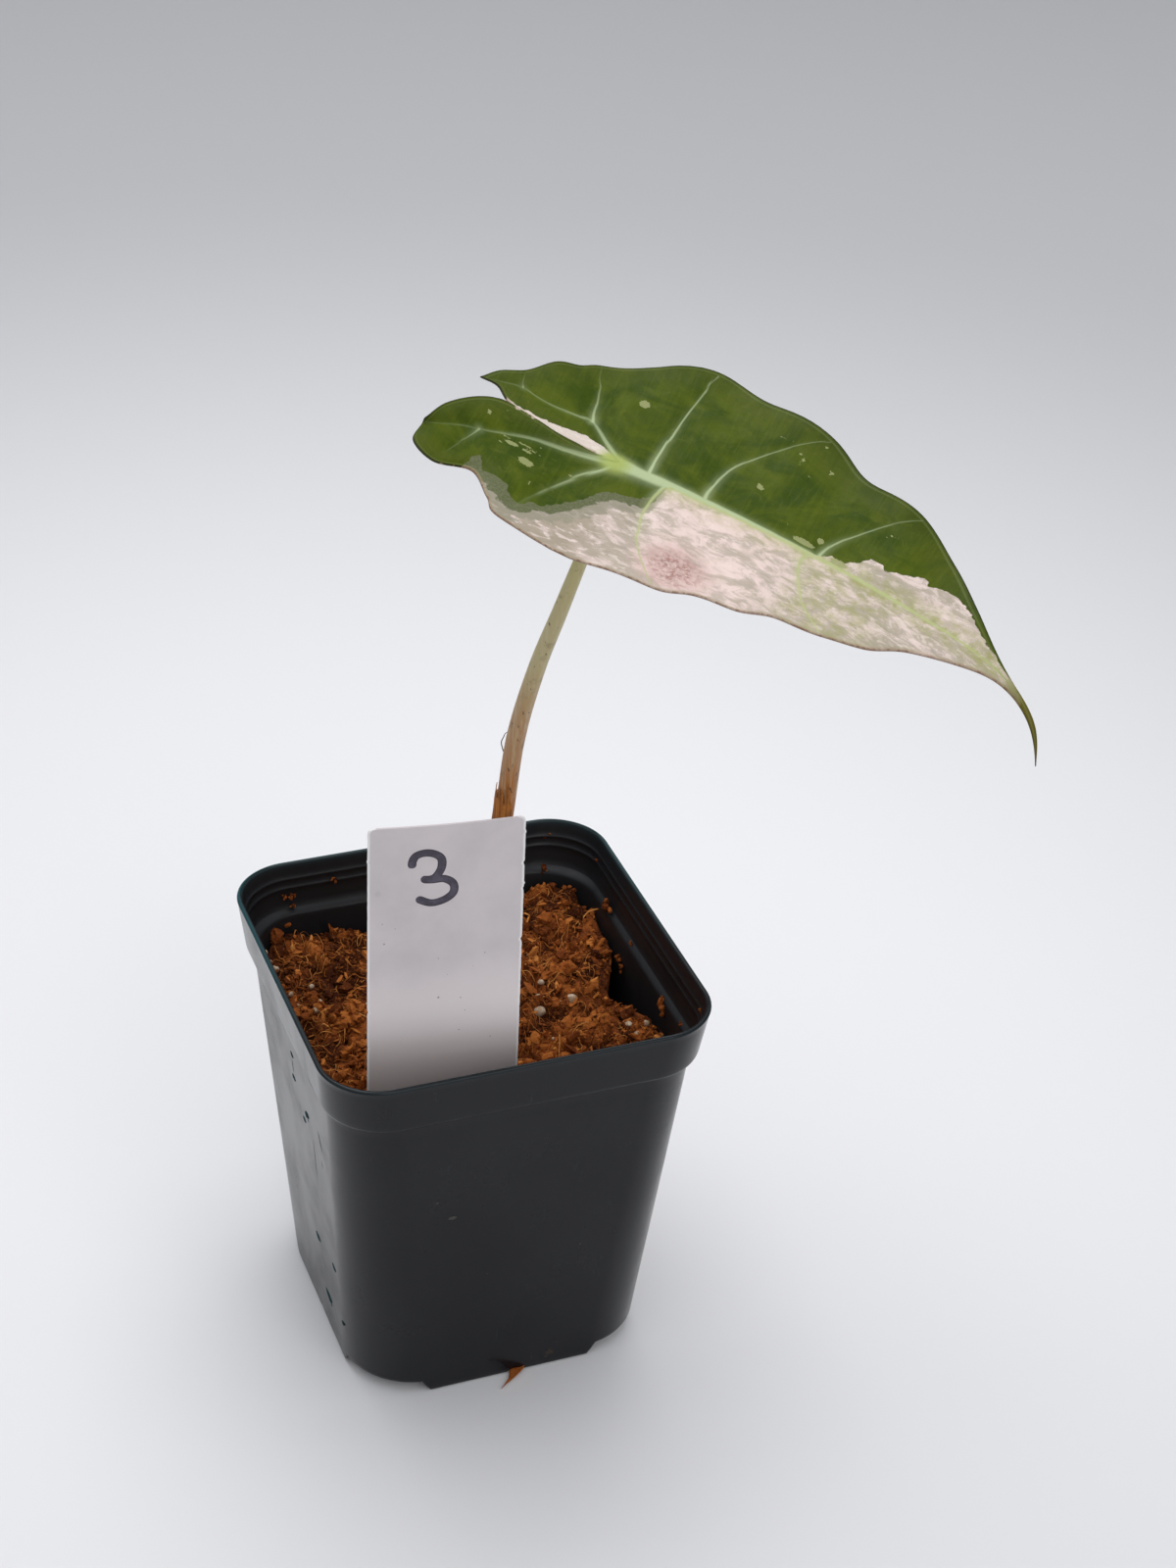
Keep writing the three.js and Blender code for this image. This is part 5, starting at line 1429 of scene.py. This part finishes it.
label = {
    "width": 32.9, "length": 100.0, "thick": 0.55, "corner": 1.3, "top": 155.1, "turn": -8.1,
    "middle": (-16.9, -32.3), "bow": 0.62, "rows": 260, "columns": 60,
    # nicks along the edges: (side, z, height, depth)
    "nicks": ((1, 151.4, 0.6, 0.25), (1, 143.6, 0.8, -0.3), (1, 138.6, 0.5, 0.3), (1, 137.2, 0.5, -0.25),
              (1, 124.2, 0.9, -0.35), (-1, 108.5, 0.8, -0.2), (-1, 99, 0.5, -0.2), (-1, 147, 0.4, 0.15)),
    # specks of dirt on its face: (along, z, radius), and one smudge
    "specks": ((-13.4, 131.4, 0.22), (-10.7, 130, 0.16), (-13, 126.3, 0.26), (-1.3, 111.2, 0.36),
               (3.5, 110.6, 0.2), (4.5, 107.1, 0.2), (3.3, 102, 0.26), (10.2, 99.3, 0.2),
               (-1.5, 121.5, 0.18), (8.5, 121.8, 0.2), (0.5, 117, 0.14), (6, 118.6, 0.12)),
    "smudge": (-14.4, 139.0, 1.0),
}
# low is painted light over the label's lower part, and edge is a painted highlight along its side edges
labelLook = {"white": ((218, 210, 212), (207, 200, 202)), "low": (240, 231, 231), "bottomBrown": (150, 128, 116),
             "edge": (252, 250, 250), "speck": (112, 104, 100), "smudge": (150, 146, 152),
             "ink": ((62, 56, 70), (84, 78, 94)), "inkEdge": (48, 42, 56)}
numeral = {
    "line": ((-7.1, 145), (-7.3, 146.4), (-6.5, 148), (-4.5, 148.6), (-2.5, 148.1), (-1.2, 146.8),
             (-1.2, 144.6), (-2.2, 142.7), (-3.4, 142), (-5.5, 142.1)),
    "lower": ((-5.3, 142), (-3, 141.8), (-0.5, 141.8), (1.35, 140.4), (1.4, 138.2), (-0.45, 136.6),
              (-3.3, 136), (-6.4, 137.4)),
    "halfWidth": 0.9, "thick": 0.035,
}


def onLabel(along, z, out):
    # a place on the label: along its width, up, and out from its front face, with the bow of the sheet
    turn = math.radians(label["turn"])
    bulge = label["bow"] * (1 - (2 * along / label["width"]) ** 2) * smooth(70, 150, z)
    off = out + label["thick"] / 2 + bulge
    x = label["middle"][0] + along * math.cos(turn) + off * math.sin(turn)
    y = label["middle"][1] + along * math.sin(turn) - off * math.cos(turn)
    return np.stack([x, y, z + 0 * x], -1)


def makeLabel(finish):
    # a bowed sheet with rounded upper corners and small nicks in its edges
    up = np.linspace(label["top"] - label["length"], label["top"], label["rows"])
    across = np.linspace(-1, 1, label["columns"])
    corner = label["corner"]
    inset = corner - np.sqrt(np.maximum(corner ** 2 - np.maximum(corner - label["top"] + up, 0) ** 2, 0))
    edges = np.tile(label["width"] / 2 - inset, (2, 1))
    edges += np.array([[0.05], [0.09]]) * cloud(np.column_stack([0 * up, 0 * up, up]), 1.2, 91, 3)
    for side, z, height, depth in label["nicks"]:
        edges[(side + 1) // 2] += depth * np.exp(-((up - z) / (height / 2)) ** 2)
    along = across * np.where(across < 0, edges[0][:, None], edges[1][:, None])
    z = up[:, None] + 0 * along
    front, back = (onLabel(along, z, out).reshape(-1, 3) for out in (0, -label["thick"]))
    points, faces = closeSheet(front, back, gridFaces(*along.shape))
    edge = np.tile(np.abs(np.broadcast_to(across, along.shape)).ravel(), 2)
    putPiece("plantLabel", points, faces, finish, {"edge": edge}, stands=("plant_label",),
             flat=True)


def labelFinish():
    # cool white plastic, painted lighter low down and faintly browner at the very bottom, with a painted
    # highlight along its side edges and a few specks of dirt
    material, tree, shader = newFinish("labelPlastic", 0.4, IOR=1.48)
    place = objectPlace(tree)
    z = partsOf(tree, place)["Z"]
    clouds = noiseOf(tree, place, 60, 4, 0.6)
    colour = blendColour(tree, between(tree, clouds, 0.35, 0.7), *labelLook["white"])
    # painted light: the lower part is lightened where the pot's rim would shade it
    colour = layered(tree, colour, (between(tree, z, 0.124, 0.106), labelLook["low"]),
                     # darker and browner towards the bottom
                     (between(tree, z, 0.1045, 0.094, 0.0, 0.38), labelLook["bottomBrown"]),
                     # painted highlight: near white along the label's two side edges
                     (between(tree, readValue(tree, "edge"), 0.965, 0.985, 0, 0.8), labelLook["edge"]))
    spots = [(*speck, 0.7, labelLook["speck"]) for speck in label["specks"]]
    for along, up, radius, strength, dirt in (*spots, (*label["smudge"], 0.15, labelLook["smudge"])):
        spot = spotAt(tree, place, onLabel(np.array(along), np.array(up), 0.0), radius)
        colour = blendColour(tree, times(tree, spot, strength), colour, dirt)
    feed(tree, shader.inputs["Base Color"], colour)
    raised(tree, shader, (noiseOf(tree, place, 500, 3), 0.12, 0.06))
    return material


def inkStroke(line, drop):
    # a flat ribbon with round ends along a line on the label's face
    middle = throughPoints(line, np.linspace(0, len(line) - 1, 90))
    way = np.gradient(middle, axis=0)
    way /= np.linalg.norm(way, axis=1)[:, None]
    side = np.column_stack([-way[:, 1], way[:, 0]])
    length = np.concatenate([[0], np.cumsum(np.linalg.norm(np.diff(middle, axis=0), axis=1))])
    end = np.minimum(length, length[-1] - length) + 0.02
    widest = numeral["halfWidth"]
    half = widest * np.sqrt(np.clip(1 - np.maximum(1 - end / widest, 0) ** 2, 0.01, 1))
    half = half * (1 + 0.05 * cloud(np.column_stack([length, 0 * length, 0 * length]), 1.6, 97, 2))
    across = np.linspace(-1, 1, 9)
    flat = middle[:, None] + side[:, None] * (half[:, None] * across)[..., None]
    outs = (numeral["thick"] * (1 - 0.6 * across ** 4) + drop, 0.004)
    upper, under = (onLabel(flat[..., 0], flat[..., 1], out).reshape(-1, 3) for out in outs)
    points, faces = closeSheet(upper, under, gridFaces(*flat.shape[:2])[:, ::-1])
    return points, faces, np.tile(across, 2 * len(middle))


def makeNumeral(finish):
    # the figure three in two strokes of a marker
    strokes = [inkStroke(numeral["line"], 0.0), inkStroke(numeral["lower"], 0.006)]
    points, faces = joinParts([stroke[:2] for stroke in strokes])
    values = {"stroke": np.concatenate([stroke[2] for stroke in strokes])}
    putPiece("inkNumeral", points, faces, finish, values)


def inkFinish():
    # violet-black marker ink, thinner in streaks
    material, tree, shader = newFinish("markerInk", 0.45)
    streak = noiseOf(tree, objectPlace(tree), 500, 3, 0.6)
    edge = between(tree, reckon(tree, "ABSOLUTE", readValue(tree, "stroke")), 0.6, 0.95)
    colour = blendColour(tree, between(tree, streak, 0.4, 0.7), *labelLook["ink"])
    feed(tree, shader.inputs["Base Color"], blendColour(tree, edge, colour, labelLook["inkEdge"]))
    return material


# The sliver of husk that sticks out of the slot in the front foot

husk = {"way": ((2.7, -31.5, 1.0), (2.2, -34.3, 0.95), (0.7, -37.1, 1.1), (-3.2, -39.7, 0.6)),
        "halfThick": 0.12, "tint": 0.55}


def makeHusk(finish):
    # a crinkled strip along a line, widest before its middle, that never goes below the ground
    t = np.linspace(0, 1, 26)
    path = throughPoints(husk["way"], t * 3)
    width = 2.4 * np.sin(np.pi * np.clip(t * 0.9 + 0.08, 0, 1)) ** 0.8 + 0.1
    across = np.linspace(-1, 1, 9)
    place = np.stack(np.broadcast_arrays(t[:, None] * 9, across[None, :] * 2, 0), -1)
    sway = 0.25 * cloud(place, 1.5, 83, 2)
    x = path[:, :1] + width[:, None] * across * 0.9
    y = path[:, 1:2] + width[:, None] * across * 0.35
    z = np.maximum(path[:, 2:] + sway + 0.25 * across, 0.25)
    lifts = (husk["halfThick"], -husk["halfThick"])
    upper, under = (np.dstack([x, y, z + lift]).reshape(-1, 3) for lift in lifts)
    points, faces = closeSheet(upper, under, gridFaces(*x.shape))
    putPiece("huskSliver", points, faces, finish, {"tint": np.full(len(points), husk["tint"])})


# Stage, light and camera

# the floor's colour darkens from tone to a far tone away from the pot: a painted light falloff
stage = {"floorRadius": 2.2, "wallHeight": 1.6, "bend": 0.7, "sides": 96,
         "tone": (240, 240, 242), "farFalloffTone": (193, 194, 196), "sky": (246, 247, 250), "skyStrength": 0.82}
# the focal length is in pixels of the photo, and the place in millimetres
camera = {"focal": 3076.0, "frame": (1200, 1600), "sensor": 36, "place": (-184.27, -520.44, 494.19),
          "right": (0.93538, -0.35126, 0.04097), "up": (0.15666, 0.51544, 0.84249),
          "back": (-0.31705, -0.78163, 0.53716)}
# lamps in metres: (name, place, aim, size, power)
lights = (
    ("key", (0.07, 0.32, 1.08), (0, 0, 0.05), (0.85, 0.85), 5.4),
    ("fill", (0.25, -1.55, 0.9), (0, 0, 0.12), (1.2, 1.2), 6.5),
)


def makeStage():
    # a pale floor that bends up into a wall all round, turned about the object's axis
    radius, bend, sides = stage["floorRadius"], stage["bend"], stage["sides"]
    angle = np.linspace(0, np.pi / 2, 16)[1:]
    inner = np.linspace(0.001, radius - bend, 12)
    r = np.concatenate([inner, radius - bend + bend * np.sin(angle), [radius]])[:, None]
    z = np.concatenate([0 * inner, bend - bend * np.cos(angle), [stage["wallHeight"]]])[:, None]
    turn = np.linspace(0, 2 * np.pi, sides, endpoint=False)
    points = np.dstack([r * np.cos(turn), r * np.sin(turn), z + 0 * turn]).reshape(-1, 3)
    faces = gridFaces(len(r), sides, ring=True)
    mesh = bpy.data.meshes.new("floorSweep")
    mesh.from_pydata(points.tolist(), [], faces.tolist())
    mesh.polygons.foreach_set("use_smooth", np.full(len(faces), True))
    material, tree, shader = newFinish("paleFloor", 0.55, Specular_IOR_Level=0.3)
    # painted light falloff: the floor darkens with distance from a point just behind the pot
    behind = addNode(tree, "ShaderNodeVectorMath", {0: objectPlace(tree), 1: (0, -0.1, 0)}, operation="ADD")
    away = lengthOf(tree, behind.outputs[0])
    tone = blendColour(tree, between(tree, away, 0.08, 0.64), stage["tone"], stage["farFalloffTone"])
    feed(tree, shader.inputs["Base Color"], tone)
    mesh.materials.append(material)
    floor = bpy.data.objects.new("floorSweep", mesh)
    bpy.context.scene.collection.objects.link(floor)


def addLamp(name, place, aim, size, power):
    # a soft rectangular light that looks at a point
    lamp = bpy.data.lights.new(name, "AREA")
    lamp.shape, lamp.size, lamp.size_y = "RECTANGLE", size[0], size[1]
    lamp.energy = power
    holder = bpy.data.objects.new(name, lamp)
    holder.visible_camera = False
    bpy.context.scene.collection.objects.link(holder)
    back = np.array(place) - np.array(aim)
    back = back / np.linalg.norm(back)
    side = np.cross([0, 0, 1.0], back)
    side /= np.linalg.norm(side)
    turn = np.column_stack([side, np.cross(back, side), back])
    holder.matrix_world = Matrix([[*turn[k], place[k]] for k in range(3)] + [[0, 0, 0, 1]])


def makeLights():
    # the lamps, and an even pale light from all round
    for lamp in lights:
        addLamp(*lamp)
    world = bpy.data.worlds.new("studio")
    bpy.context.scene.world = world
    world.use_nodes = True
    sky = world.node_tree.nodes["Background"].inputs
    sky["Color"].default_value = shade(*stage["sky"])
    sky["Strength"].default_value = stage["skyStrength"]
    bpy.context.scene.view_settings.view_transform = "Standard"


def makeCamera():
    # the camera that was fitted to the photo: its place and its three axes
    lens = bpy.data.cameras.new("camera")
    lens.sensor_width = camera["sensor"]
    lens.lens = camera["focal"] / max(camera["frame"]) * camera["sensor"]
    lens.clip_start, lens.clip_end = 0.01, 20
    holder = bpy.data.objects.new("camera", lens)
    bpy.context.scene.collection.objects.link(holder)
    columns = zip(camera["right"], camera["up"], camera["back"], camera["place"])
    holder.matrix_world = Matrix([(x, y, z, away * mm) for x, y, z, away in columns] + [(0, 0, 0, 1)])
    bpy.context.scene.camera = holder


makeCamera()
makeLights()
makeStage()
print("stage, lights and camera are in place")
makePot(potFinish())
makeDrops(dropFinish())
print("pot done")
makeLeaf(leafFinish())
print("leaf done")
makePetiole(petioleFinish())
makeSheath(sheathFinish("drySheath", sheath["colours"]))
makeSheathFibre(sheathFinish("dryThread", sheath["threadColours"]))
makeCorm(cormFinish())
print("stem done")
coir = coirFinish()
for makePart in (makeMixBed, makeCrumbs, makeFines, makeChips, makeStuckCrumbs, makeFibres):
    makePart(coir)
makePerlite(perliteFinish())
makeHusk(coir)
print("potting mix done")
makeLabel(labelFinish())
makeNumeral(inkFinish())
print("label done")
